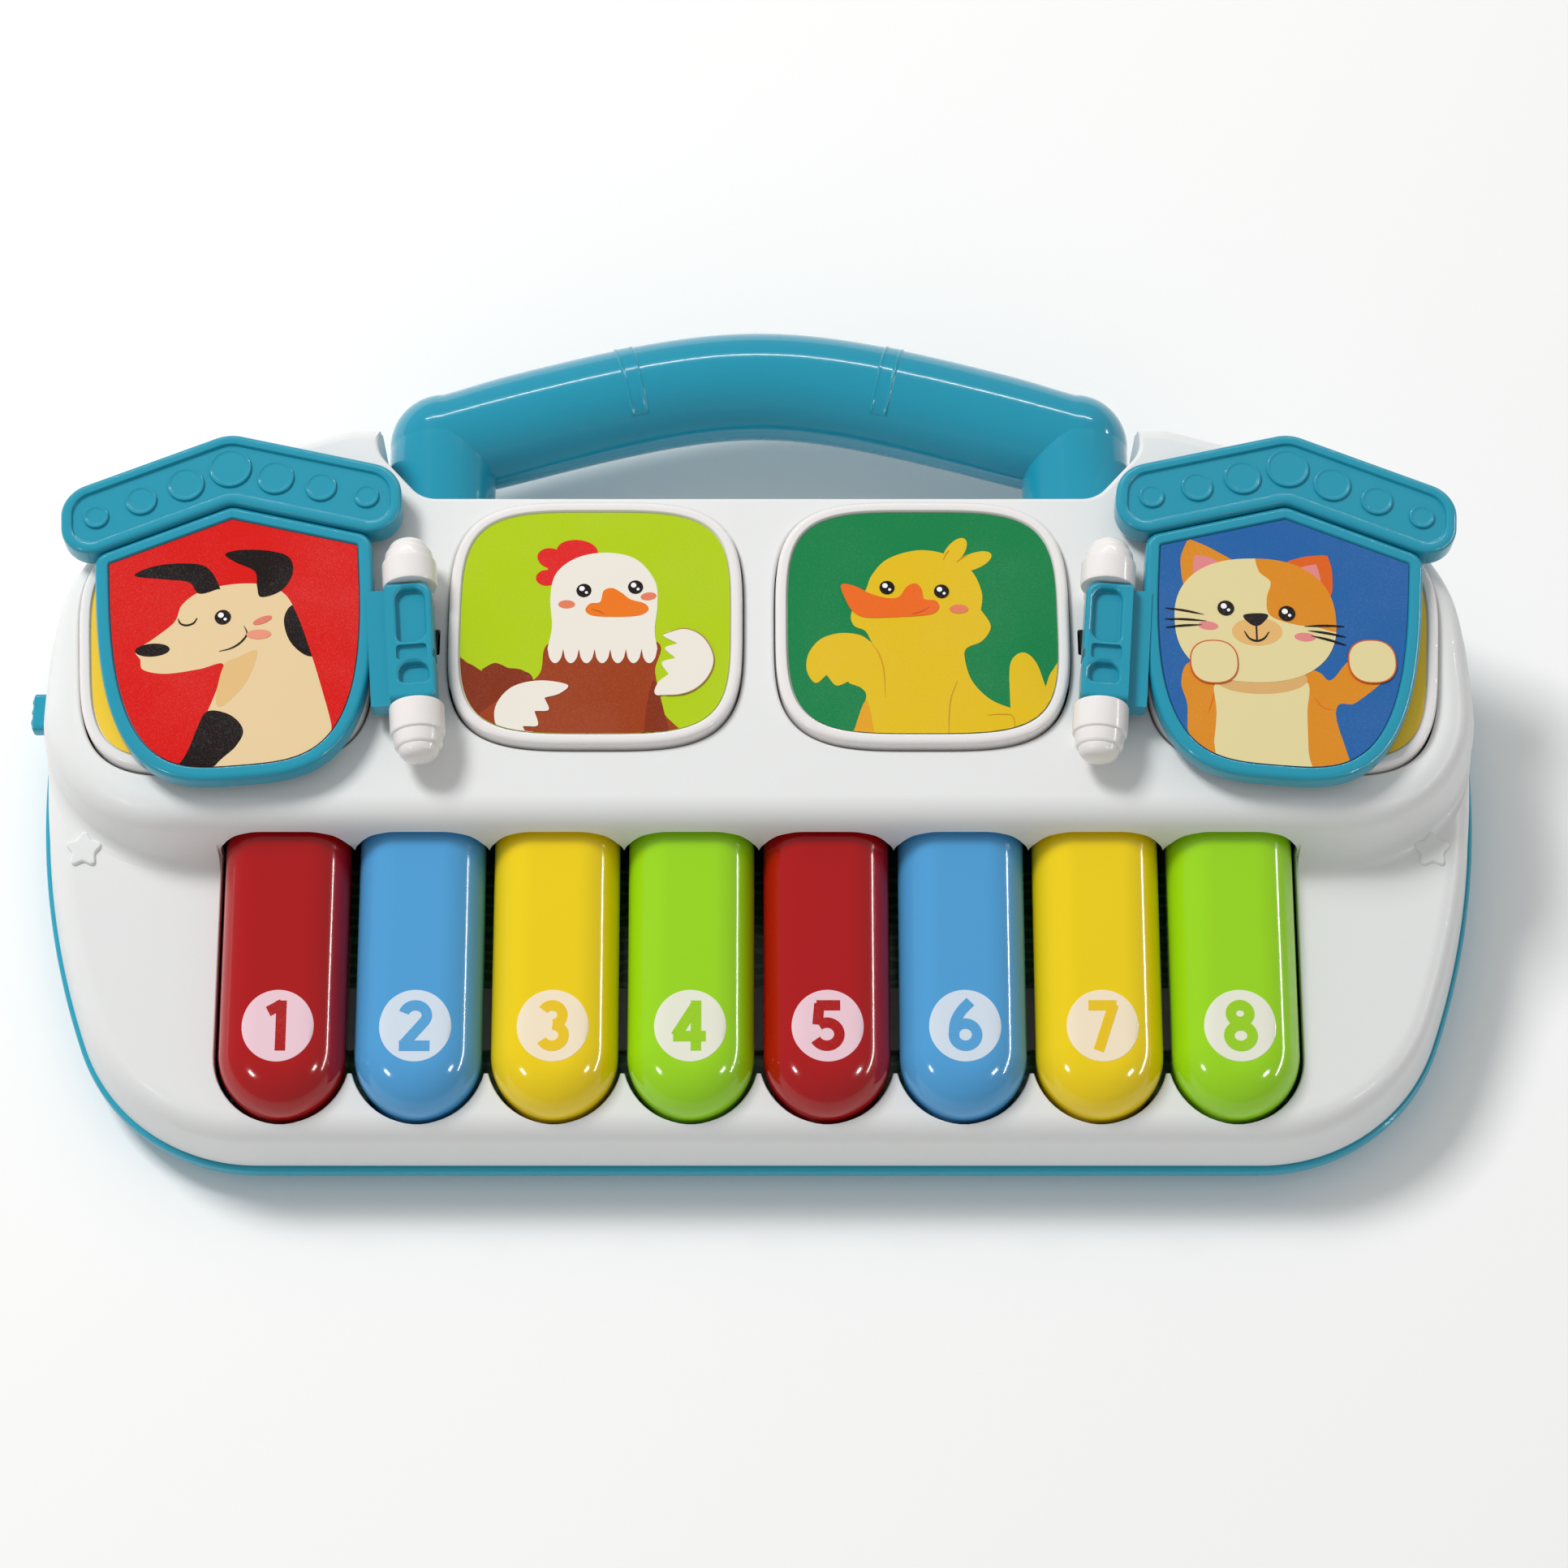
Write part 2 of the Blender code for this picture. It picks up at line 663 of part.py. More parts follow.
def make_base_shell():
    outline = body_outline()
    shell = tier(
        outline,
        (
            (7 * MM, FOOT_DROP),
            (2.6 * MM, 2.9 * MM),
            (0.5 * MM, 5.2 * MM),
            (0, 6.6 * MM),
            (0, 9.6 * MM),
            (0.5 * MM, SEAM_Z),
        ),
    )
    floor_z = FOOT_DROP + WALL
    hollow = tier(outline, ((9 * MM, floor_z), (3.6 * MM, 6.4 * MM), (3.2 * MM, SEAM_Z + 2 * MM)))
    cut(hollow, prism(notch_outline(NOTCH_WALL), -PAST, DECK_Z))
    cut(shell, hollow, prism(notch_outline(0), -PAST, DECK_Z))
    for x, y in SCREW_PLACES:
        join(shell, cylinder((x, y, floor_z - 1 * MM), (x, y, BASE_POST_Z), BASE_POST_R, 12))
    for x in axle_posts():
        low = (x - 1.5 * MM, AXLE_Y - 3 * MM, floor_z - 1 * MM)
        post = box(low, (x + 1.5 * MM, AXLE_Y + 3 * MM, AXLE_Z + 1.4 * MM))
        reach = AXLE_R + TOUCH_GAP
        seat = cylinder((x - 3 * MM, AXLE_Y, AXLE_Z), (x + 3 * MM, AXLE_Y, AXLE_Z), reach, 10)
        mouth = box((x - 3 * MM, AXLE_Y - reach, AXLE_Z), (x + 3 * MM, AXLE_Y + reach, AXLE_Z + PAST))
        join(shell, cut(post, seat, mouth))
    for x in (-96 * MM, 96 * MM):
        for y in (FRONT_Y + 22 * MM, FRONT_Y + 62 * MM):
            join(shell, cylinder((x, y, floor_z - 1 * MM), (x, y, MAIN_BOARD_Z - TOUCH_GAP), 3 * MM, 8))
    base_bay(shell, floor_z)
    base_speaker_seat(shell, floor_z)
    for x, y in SCREW_PLACES:
        cut(shell, cylinder((x, y, 0), (x, y, BASE_POST_Z + PAST), SCREW_R + TOUCH_GAP, 8))
        cut(shell, cylinder((x, y, 0), (x, y, SCREW_SEAT_Z), SCREW_HEAD_R + TOUCH_GAP, 12))
    for x, y in foot_places():
        cut(shell, cylinder((x, y, 0), (x, y, FOOT_DROP + FOOT_SEAT), FOOT_R + TOUCH_GAP))
    return finish(shell, "base_shell", "teal_plastic")


def base_bay(shell, floor_z):
    """Battery bay: a box over an opening in the floor, with a ledge for its door."""
    half_x, half_y = bay_half()
    roof_z = bay_roof_z()
    wall = BAY_WALL
    low = (BAY_X - half_x - wall, BAY_Y - half_y - wall, floor_z - 1 * MM)
    join(shell, box(low, (BAY_X + half_x + wall, BAY_Y + half_y + wall, roof_z + wall)))
    cut(shell, box((BAY_X - half_x, BAY_Y - half_y, 0), (BAY_X + half_x, BAY_Y + half_y, roof_z)))
    join(shell, door_tongue(2 * MM, floor_z - 1 * MM, floor_z + WALL))
    join(shell, cylinder((*bay_screw(), floor_z), (*bay_screw(), 14 * MM), 4 * MM, 10))
    cut(shell, cylinder((*bay_screw(), 0), (*bay_screw(), 13 * MM), SCREW_R + TOUCH_GAP, 8))
    cut(shell, door_tongue(TOUCH_GAP, 0, floor_z + TOUCH_GAP))


def bay_screw():
    """Place of the battery door's screw, beside the bay."""
    return BAY_X - bay_half()[0] - BAY_WALL - 3.4 * MM, BAY_Y


def door_tongue(grow, low, high):
    """The ear of the battery door that its screw goes through."""
    x, y = bay_screw()
    inner_x = BAY_X - bay_half()[0] + (TOUCH_GAP + MM if grow < MM else -MM)
    return box((x - 5 * MM - grow, y - 6 * MM - grow, low), (inner_x, y + 6 * MM + grow, high))


def base_speaker_seat(shell, floor_z):
    """Ring round the speaker and a pattern of sound holes in the floor."""
    seat = cylinder((0, SPEAKER_Y, floor_z - 1 * MM), (0, SPEAKER_Y, floor_z + 5 * MM), SPEAKER_R + 2 * MM, 24)
    room = cylinder((0, SPEAKER_Y, floor_z), (0, SPEAKER_Y, floor_z + 8 * MM), SPEAKER_R + TOUCH_GAP, 24)
    cut(seat, room)
    join(shell, seat)
    for count, radius in ((1, 0), (5, 7 * MM), (9, 13.5 * MM)):
        for i in range(count):
            a = 2 * math.pi * i / count
            x, y = radius * math.cos(a), SPEAKER_Y + radius * math.sin(a)
            cut(shell, cylinder((x, y, 0), (x, y, floor_z + 2 * MM), 1.9 * MM, 6))


def foot_places():
    return [(side * x, y) for x, y in FOOT_PLACES for _, side in SIDES]


def make_feet_and_screws():
    for i, (x, y) in enumerate(foot_places()):
        foot = cone((x, y, 0), (x, y, FOOT_DROP + FOOT_SEAT - TOUCH_GAP), FOOT_R - 1 * MM, FOOT_R)
        finish(foot, f"foot_{i + 1}", "rubber")
    for i, (x, y) in enumerate(SCREW_PLACES):
        finish(screw(x, y, SCREW_SEAT_Z), f"case_screw_{i + 1}", "steel")
    x, y = bay_screw()
    finish(screw(x, y, FOOT_DROP + DOOR_SCREW_HEAD, 9 * MM, DOOR_SCREW_HEAD), "battery_door_screw", "steel")


def screw(x, y, seat_z, length=SCREW_LENGTH, head_height=SCREW_HEAD):
    """A pan-head screw pushed up from below, with a cross slot."""
    seat_z -= TOUCH_GAP
    low = seat_z - head_height
    head = cone((x, y, low), (x, y, seat_z), SCREW_HEAD_R - 0.6 * MM, SCREW_HEAD_R, 10)
    join(head, cylinder((x, y, seat_z - 0.4 * MM), (x, y, seat_z + length), SCREW_R, 8))
    for half_x, half_y in ((2, 0.4), (0.4, 2)):
        corner = (x - half_x * MM, y - half_y * MM, low - 1 * MM)
        cut(head, box(corner, (x + half_x * MM, y + half_y * MM, low + 0.8 * MM)))
    return head


def make_battery_pieces():
    half_x, half_y = bay_half()
    gap = TOUCH_GAP
    low = (BAY_X - half_x + gap, BAY_Y - half_y + gap, FOOT_DROP)
    door = box(low, (BAY_X + half_x - gap, BAY_Y + half_y - gap, FOOT_DROP + WALL))
    join(door, door_tongue(0, FOOT_DROP, FOOT_DROP + WALL))
    x, y = bay_screw()
    cut(door, cylinder((x, y, 0), (x, y, 6 * MM), SCREW_R + gap, 8))
    cut(door, cylinder((x, y, 0), (x, y, FOOT_DROP + DOOR_SCREW_HEAD), SCREW_HEAD_R + gap, 10))
    finish(door, "battery_door", "teal_plastic")
    middle_z = FOOT_DROP + WALL + gap + CELL_R
    for i in range(CELL_COUNT):
        y = BAY_Y + (i - (CELL_COUNT - 1) / 2) * (2 * CELL_R + gap)
        start = BAY_X - CELL_LENGTH / 2
        cell = cylinder((start, y, middle_z), (start + CELL_LENGTH - 1.2 * MM, y, middle_z), CELL_R)
        nub_end = start + CELL_LENGTH
        join(cell, cylinder((nub_end - 3 * MM, y, middle_z), (nub_end, y, middle_z), 2.7 * MM, 10))
        finish(cell, f"cell_{i + 1}", "cell_label")
    for name, side in SIDES:
        x = BAY_X + side * (half_x - gap - CONTACT_THICK / 2)
        half = CONTACT_THICK / 2
        low = (x - half, BAY_Y - half_y + 2 * MM, middle_z - 5 * MM)
        plate = box(low, (x + half, BAY_Y + half_y - 2 * MM, middle_z + 5 * MM))
        for i in range(CELL_COUNT):
            y = BAY_Y + (i - (CELL_COUNT - 1) / 2) * (2 * CELL_R + gap)
            tip = BAY_X + side * (CELL_LENGTH / 2 + gap)
            join(plate, cone((x, y, middle_z), (tip, y, middle_z), 3.4 * MM, 1.6 * MM, 8))
        finish(plate, f"battery_contact_{name}", "steel")


def speaker_cone(low, high, low_r, high_r):
    return cone((0, SPEAKER_Y, low), (0, SPEAKER_Y, high), low_r, high_r)


def make_speaker():
    floor_z = FOOT_DROP + WALL + TOUCH_GAP
    magnet_r = 12 * MM
    rim = 1.6 * MM
    frame = speaker_cone(floor_z, floor_z + 10 * MM, SPEAKER_R, magnet_r + rim)
    cut(frame, speaker_cone(floor_z - 1 * MM, floor_z + 7.6 * MM, SPEAKER_R - rim, magnet_r - rim))
    cut(frame, speaker_cone(floor_z, floor_z + 12 * MM, 7 * MM, 7 * MM))
    finish(frame, "speaker_frame", "steel")
    wide = speaker_cone(floor_z + 0.6 * MM, floor_z + 6.4 * MM, SPEAKER_R - 2.4 * rim, 6 * MM)
    cut(wide, speaker_cone(floor_z, floor_z + 5.2 * MM, SPEAKER_R - 2.4 * rim, 5.6 * MM))
    finish(wide, "speaker_cone", "paper_cone")
    low = floor_z + 10 * MM + TOUCH_GAP
    finish(speaker_cone(low, low + 6 * MM, magnet_r, magnet_r), "speaker_magnet", "steel")


def make_boards():
    half = key_x(KEY_COUNT - 1) + KEY_PITCH / 2 - 2 * MM
    low = (-half, FRONT_Y + 14 * MM, MAIN_BOARD_Z)
    top = MAIN_BOARD_Z + BOARD_THICK
    finish(box(low, (half, FRONT_Y + 68 * MM, top)), "main_board", "board")
    low = top + TOUCH_GAP
    strip = box((-half, PLUNGER_Y - 7 * MM, low), (half, PLUNGER_Y + 7 * MM, low + 1.5 * MM))
    for k in range(KEY_COUNT):
        start, end = (key_x(k), PLUNGER_Y, low + 1 * MM), (key_x(k), PLUNGER_Y, low + PAD_HEIGHT)
        join(strip, cone(start, end, 5.5 * MM, 3.5 * MM, 8))
    finish(strip, "key_pad_strip", "silicone")
    reach = SIDE_BUTTON_X + 10 * MM
    low = (-reach, SIDE_BUTTON_Y - 9 * MM, BUTTON_BOARD_Z)
    board = box(low, (reach, SIDE_BUTTON_Y + 15 * MM, BUTTON_BOARD_Z + BOARD_THICK))
    finish(board, "button_board", "board")
    low = BUTTON_BOARD_Z + BOARD_THICK + TOUCH_GAP
    for name, (x, y), _, _ in button_places():
        pad = cone((x, y, low), (x, y, low + BUTTON_PAD_HEIGHT), 5 * MM, 3.4 * MM, 10)
        finish(pad, f"button_pad_{name}", "silicone")


def make_axle_and_pins():
    end = axle_posts()[-1] + 1.4 * MM
    finish(cylinder((-end, AXLE_Y, AXLE_Z), (end, AXLE_Y, AXLE_Z), AXLE_R, 12), "key_axle", "steel")
    for name, side in SIDES:
        reach = BARREL_HALF + 6.6 * MM
        pin = cylinder((0, -reach, 0), (0, reach, 0), PIN_R, 12)
        finish(placed(pin, side), f"hinge_pin_{name}", "steel")
        x = side * door_switch_x()
        low = (x - 1.2 * MM, HINGE_Y + 2.3 * MM, DECK_Z - 7 * MM)
        nub = box(low, (x + 1.2 * MM, HINGE_Y + 7.3 * MM, DECK_Z + 0.7 * MM))
        finish(nub, f"door_switch_{name}", "black_plastic")


# Handle


def handle_point(x):
    """Centreline of the grip: nearly straight ends with the bend in the middle."""
    bend = HANDLE_BEND
    share = (math.hypot(1, x / bend) - 1) / (math.hypot(1, HANDLE_END_X / bend) - 1)
    return Vector((x, OVERALL_DEPTH / 2 - HANDLE_R - HANDLE_RISE * share, HANDLE_Z))


def handle_ring(center, along, radius, sides=14):
    """A circle of points across the grip."""
    across = along.cross(Vector((0, 0, 1)))
    up = Vector((0, 0, 1))
    turns = [2 * math.pi * j / sides for j in range(sides)]
    return [center + (across * math.cos(a) + up * math.sin(a)) * radius for a in turns]


def handle_solid(shrink):
    """Grip with rounded ends and the two legs, as one solid."""
    radius = HANDLE_R - shrink
    steps = 10
    right = Vector((1, 0, 0))
    caps = [math.pi / 2 * k / 4 for k in range(1, 4)]
    rings = []
    start, end = handle_point(-HANDLE_END_X), handle_point(HANDLE_END_X)
    for a in reversed(caps):
        rings.append(handle_ring(start - right * radius * math.sin(a), right, radius * math.cos(a)))
    for i in range(steps + 1):
        x = HANDLE_END_X * (2 * i / steps - 1)
        along = (handle_point(x + MM) - handle_point(x - MM)).normalized()
        blend = min(1, (HANDLE_END_X - abs(x)) / HANDLE_R)
        rings.append(handle_ring(handle_point(x), (along * blend + right * (1 - blend)).normalized(), radius))
    for a in caps:
        rings.append(handle_ring(end + right * radius * math.sin(a), right, radius * math.cos(a)))
    solid = loft(rings)
    inside_y = NOTCH_Y - NOTCH_WALL - TOUCH_GAP
    for _, side in SIDES:
        x = side * HANDLE_END_X
        inner_y = inside_y - LEG_FLANGE
        leg_y = inner_y - 5 * MM if shrink else inner_y + LEG_FLANGE / 2
        join(solid, cylinder((x, leg_y, HANDLE_Z), (x, end.y, HANDLE_Z), LEG_R - shrink))
        if not shrink:
            join(solid, cylinder((x, inner_y, HANDLE_Z), (x, inside_y, HANDLE_Z), LEG_FLANGE_R))
    return solid


def make_handle():
    split = TOUCH_GAP / 2
    for name, low, high in (("upper", HANDLE_Z + split, FAR), ("lower", -FAR, HANDLE_Z - split)):
        shell = cut(handle_solid(0), handle_solid(HANDLE_WALL))
        combine(shell, box((-FAR, -FAR, low), (FAR, FAR, high)), "INTERSECT")
        finish(shell, f"handle_{name}", "teal_plastic")


# Moving pieces


def key_outline(shrink, rear_y):
    """A key seen from above: round tip, straight sides."""
    radius = KEY_WIDTH / 2 - shrink
    middle_y = KEY_TIP_Y + KEY_WIDTH / 2
    points = arc(0, middle_y, radius, math.pi, 2 * math.pi, 8)
    return points + [(radius, rear_y), (-radius, rear_y)]


def make_key(index):
    """Hollow key with crowned top; an arm at the rear carries its hub on the common axle."""
    spring = -KEY_CROWN_RISE
    rings = []
    for shrink, height in ((0.4 * MM, spring - KEY_SKIRT), (0, spring)):
        rings.append([(x, y, key_crown(y) + height) for x, y in key_outline(shrink, KEY_BODY_REAR_Y)])
    for step in range(1, 5):
        a = math.pi / 2 * step / 4
        shrink = KEY_SHOULDER * (1 - math.cos(a))
        height = spring + KEY_CROWN_RISE * math.sin(a)
        rings.append([(x, y, key_crown(y) + height) for x, y in key_outline(shrink, KEY_BODY_REAR_Y)])
    key = loft(rings)
    hollow = []
    rear = KEY_BODY_REAR_Y - KEY_WALL
    for shrink, height in ((0.4, spring - KEY_SKIRT - 2 * MM), (0, spring), (5, -2.9 * MM)):
        hollow.append([(x, y, key_crown(y) + height) for x, y in key_outline(KEY_WALL + shrink * MM, rear)])
    cut(key, loft(hollow))
    sweep = math.tan(KEY_TRAVEL) * (AXLE_Y - PLUNGER_Y)
    pad_top = MAIN_BOARD_Z + BOARD_THICK + TOUCH_GAP + PAD_HEIGHT
    low = pad_top + sweep + 0.7 * MM
    crown = key_crown(PLUNGER_Y) - 1 * MM
    join(key, cylinder((0, PLUNGER_Y, low), (0, PLUNGER_Y, crown), PLUNGER_R, 8))
    half = HUB_WIDTH / 2
    low = AXLE_Z - HUB_R + 1.4 * MM
    arm = box((-half, KEY_BODY_REAR_Y - 1 * MM, low), (half, AXLE_Y, AXLE_Z + HUB_R - 1 * MM))
    hub = cylinder((-half, AXLE_Y, AXLE_Z), (half, AXLE_Y, AXLE_Z), HUB_R, 12)
    join(key, join(arm, hub))
    cut(key, cylinder((-KEY_WIDTH, AXLE_Y, AXLE_Z), (KEY_WIDTH, AXLE_Y, AXLE_Z), AXLE_R + RUN_GAP, 12))
    x = key_x(index)
    move(key, Matrix.Translation((x, 0, 0)))
    finish(key, f"key_{index + 1}", KEY_COLORS[index % 4], (x, AXLE_Y, AXLE_Z))


def make_button(name, center, half, turn, print_name):
    """Plate with a raised rim round its picture card, tabs that keep it in the deck and a plunger."""
    place = button_frame(center, turn)
    flange_top = DECK_Z - WALL - 0.5 * MM
    flange_low = flange_top - BUTTON_FLANGE
    rings = []
    for grow, z in ((0, flange_low), (0, BUTTON_TOP_Z - 0.9 * MM), (-0.9 * MM, BUTTON_TOP_Z)):
        rings.append([(x, y, z) for x, y in button_outline(half, grow)])
    plate = loft(rings)
    reach = (BUTTON_TAB, -7 * MM) if turn == 0 else (-7 * MM, BUTTON_TAB)
    tabs = squircle(half[0] + reach[0], half[1] + reach[1], SQUIRCLE)
    join(plate, prism(tabs, flange_low, flange_top))
    cut(plate, prism(button_outline(half, -2 * MM), flange_low - PAST, BUTTON_TOP_Z - BUTTON_SKIN))
    cut(plate, prism(button_outline(half, -BUTTON_RIM), BUTTON_TOP_Z - CARD_DEPTH, BUTTON_TOP_Z + MM))
    pad_top = BUTTON_BOARD_Z + BOARD_THICK + TOUCH_GAP + BUTTON_PAD_HEIGHT
    low = pad_top + BUTTON_TRAVEL + TOUCH_GAP
    join(plate, cylinder((0, 0, low), (0, 0, BUTTON_TOP_Z - 2 * MM), 3 * MM, 8))
    origin = (*center, BUTTON_TOP_Z)
    finish(move(plate, place), f"button_{name}", "white_plastic", origin)
    card_low = BUTTON_TOP_Z - CARD_DEPTH + TOUCH_GAP
    card = prism(button_outline(half, -BUTTON_RIM - TOUCH_GAP), card_low, card_low + CARD_THICK - 0.2 * MM)
    finish(move(card, place), f"button_card_{name}", print_name, origin)


def door_outline(shrink):
    """The door below its roof, in the hinge frame: round lower corners and a gabled top."""
    middle = DOOR_WALL_U + DOOR_HALF
    half = DOOR_HALF - shrink
    eaves = DOOR_EAVES_V - shrink
    lower = squircle(half, DOOR_EAVES_V - DOOR_FRONT_V - shrink, DOOR_CORNER_POWER, 28)
    points = [(middle + x, DOOR_EAVES_V + y) for x, y in lower if y < -12 * MM]
    top = [(middle + half, eaves), (middle, eaves + DOOR_HALF * ROOF_SLOPE), (middle - half, eaves)]
    return points + top


def roof_outline():
    """The gabled band with round ends."""
    middle = DOOR_WALL_U + DOOR_HALF
    end_v = ROOF_APEX_V - ROOF_OVERHANG * ROOF_SLOPE
    right, left = middle + ROOF_OVERHANG, middle - ROOF_OVERHANG
    return rounded(
        (
            (left, end_v - ROOF_BAND, 6 * MM),
            (middle, ROOF_APEX_V - ROOF_BAND, 3 * MM),
            (right, end_v - ROOF_BAND, 6 * MM),
            (right, end_v, 6 * MM),
            (middle, ROOF_APEX_V, 8 * MM),
            (left, end_v, 6 * MM),
        )
    )


def make_door(name, side, print_name):
    """Door leaf with roof and hinge barrel, and a picture card on each face."""
    low = BUTTON_TOP_Z + TOUCH_GAP - HINGE_Z
    high = low + DOOR_THICK
    leaf = prism(door_outline(0), low, high)
    join(leaf, prism(roof_outline(), low - 0.2 * MM, high + ROOF_RAISE))
    middle = DOOR_WALL_U + DOOR_HALF
    for i in range(-3, 4):
        u = middle + i * ROOF_DISC_STEP
        v = ROOF_APEX_V - ROOF_BAND / 2 - abs(i) * ROOF_DISC_STEP * ROOF_SLOPE
        top = high + ROOF_RAISE
        join(leaf, cylinder((u, v, top - MM), (u, v, top + ROOF_DISC_RAISE), ROOF_DISC_R[abs(i)], 10))
    barrel = cylinder((0, -BARREL_HALF, 0), (0, BARREL_HALF, 0), BARREL_R)
    web_end = DOOR_WALL_U + DOOR_RIM / 2
    join(barrel, box((0, -BARREL_HALF, -WEB_DROP), (web_end, BARREL_HALF, 0)))
    join(leaf, barrel)
    cut(leaf, cylinder((0, -BARREL_HALF - MM, 0), (0, BARREL_HALF + MM, 0), PIN_R + RUN_GAP))
    opening = door_outline(DOOR_RIM)
    cut(leaf, prism(opening, high - CARD_DEPTH, high + PAST))
    cut(leaf, prism(opening, low - PAST, low + CARD_DEPTH))
    origin = hinge_frame(side).translation
    finish(placed(leaf, side), f"door_{name}", "teal_plastic", origin)
    card_outline = door_outline(DOOR_RIM + TOUCH_GAP)
    thick = CARD_THICK - 0.2 * MM
    front_z = high - CARD_DEPTH + TOUCH_GAP
    front = prism(card_outline, front_z, front_z + thick)
    finish(placed(front, side), f"door_card_{name}", print_name, origin)
    back_z = low + CARD_DEPTH - TOUCH_GAP
    back = prism(card_outline, back_z - thick, back_z)
    finish(placed(back, side), f"door_back_card_{name}", "white_plastic", origin)


def make_power_switch():
    """Sliding knob in the left wall and the switch behind it."""
    half_y, half_z = SWITCH_KNOB[0] / 2, SWITCH_KNOB[1] / 2
    outer_x = -HALF_WIDTH + 0.1 * MM
    high_y = SWITCH_Y + half_y + SWITCH_TRAVEL + 1.5 * MM
    wall_x = -HALF_WIDTH + SHELL_INSET + WALL + side_drop(high_y) + 1.4 * MM
    low = (outer_x, SWITCH_Y - half_y, SWITCH_Z - half_z)
    knob = box(low, (wall_x, SWITCH_Y + half_y, SWITCH_Z + half_z))
    finish(knob, "power_knob", "teal_plastic", (outer_x, SWITCH_Y, SWITCH_Z))
    front_x = wall_x + TOUCH_GAP
    low = (front_x, SWITCH_Y - half_y - 1.5 * MM, SWITCH_Z - 5 * MM)
    body = box(low, (front_x + 8 * MM, high_y, SWITCH_Z + 5 * MM))
    finish(body, "power_switch", "black_plastic")


def build():
    make_base_shell()
    make_top_shell()
    make_feet_and_screws()
    make_battery_pieces()
    make_speaker()
    make_boards()
    make_axle_and_pins()
    make_handle()
    for index in range(KEY_COUNT):
        make_key(index)
    prints = {"left_inner": "lime_print", "right_inner": "green_print"}
    for name, center, half, turn in button_places():
        make_button(name, center, half, turn, prints.get(name, "yellow_print"))
    make_door("left", -1, "red_print")
    make_door("right", 1, "blue_print")
    make_power_switch()


build()
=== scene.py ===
# Looks of the toy electronic keyboard: smooth shells, glossy keys, printed pictures and soft studio light.
import math

import bpy
import numpy as np
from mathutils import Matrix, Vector
from mathutils.geometry import delaunay_2d_cdt


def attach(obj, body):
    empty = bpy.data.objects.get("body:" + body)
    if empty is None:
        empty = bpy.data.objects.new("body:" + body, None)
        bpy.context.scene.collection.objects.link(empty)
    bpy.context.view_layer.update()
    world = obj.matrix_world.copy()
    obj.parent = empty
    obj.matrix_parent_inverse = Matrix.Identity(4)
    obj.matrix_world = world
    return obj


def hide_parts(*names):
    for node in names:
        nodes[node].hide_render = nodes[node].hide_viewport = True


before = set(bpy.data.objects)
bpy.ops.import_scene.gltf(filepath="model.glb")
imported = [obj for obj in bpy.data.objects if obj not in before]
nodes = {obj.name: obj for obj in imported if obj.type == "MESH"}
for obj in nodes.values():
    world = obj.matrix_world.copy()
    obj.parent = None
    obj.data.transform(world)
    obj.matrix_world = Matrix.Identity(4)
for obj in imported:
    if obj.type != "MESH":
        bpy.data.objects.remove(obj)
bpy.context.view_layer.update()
print("frame loaded:", len(nodes), "nodes")

mm = 0.001
front = -96.75  # the body's front edge
levels = {"seam": 10.0, "slopeStart": 24.5, "slope": math.tan(math.radians(7.7)), "deck": 49.5,
    "handle": 25.0}


def arcPoints(x, y, radius, start, end, count):
    # x + r cos a, y + r sin a, with the angle a in degrees spread evenly from start to end
    a = np.radians(np.linspace(start, end, count))
    return np.stack([x + radius * np.cos(a), y + radius * np.sin(a)], -1)


def ovalPoints(x, y, halfX, halfY, tilt=0, power=2.0, count=64):
    # superellipse: sign(cos a) |cos a|^(2/p) by sign(sin a) |sin a|^(2/p), turned by the tilt in degrees
    a = (np.arange(count) + 0.5) * 2 * np.pi / count
    c, s = np.cos(a), np.sin(a)
    p = np.sign(c) * np.abs(c) ** (2 / power) * halfX
    q = np.sign(s) * np.abs(s) ** (2 / power) * halfY
    t = math.radians(tilt)
    return np.stack([x + p * math.cos(t) - q * math.sin(t), y + p * math.sin(t) + q * math.cos(t)], -1)


def splinePoints(points, steps=8, closed=True):
    # Catmull-Rom: half of (2b + (c-a)t + (2a-5b+4c-d)t^2 + (3b-a-3c+d)t^3) between b and c
    p = np.asarray(points, float)
    if not closed:
        p = np.vstack([2 * p[0] - p[1], p, 2 * p[-1] - p[-2]])
    a, b, c, d = (np.roll(p, k, 0)[:, None] for k in (1, 0, -1, -2))
    t = np.linspace(0, 1, steps, endpoint=False)[None, :, None]
    curve = 0.5 * (2 * b + (c - a) * t + (2 * a - 5 * b + 4 * c - d) * t**2 + (3 * b - a - 3 * c + d) * t**3)
    if closed:
        return curve.reshape(-1, 2)
    return np.vstack([curve[1:-2].reshape(-1, 2), p[-2:-1]])


def roundedCorners(corners, count=10):
    # each (x, y, r) corner becomes the arc of radius r that touches both its sides
    lines = []
    for i, (x, y, radius) in enumerate(corners):
        here = np.array((x, y), float)
        before = np.array(corners[i - 1][:2]) - here
        after = np.array(corners[(i + 1) % len(corners)][:2]) - here
        before, after = before / np.hypot(*before), after / np.hypot(*after)
        half = math.acos(np.clip(before @ after, -1, 1)) / 2
        if radius == 0 or abs(half - math.pi / 2) < 0.002:
            lines.append(here[None])
            continue
        centre = here + (before + after) / np.hypot(*(before + after)) * radius / math.sin(half)
        first = here + before * radius / math.tan(half) - centre
        last = here + after * radius / math.tan(half) - centre
        start = math.degrees(math.atan2(first[1], first[0]))
        sweep = (math.degrees(math.atan2(last[1], last[0])) - start + 180) % 360 - 180
        lines.append(arcPoints(*centre, radius, start, start + sweep, count))
    return np.vstack(lines)


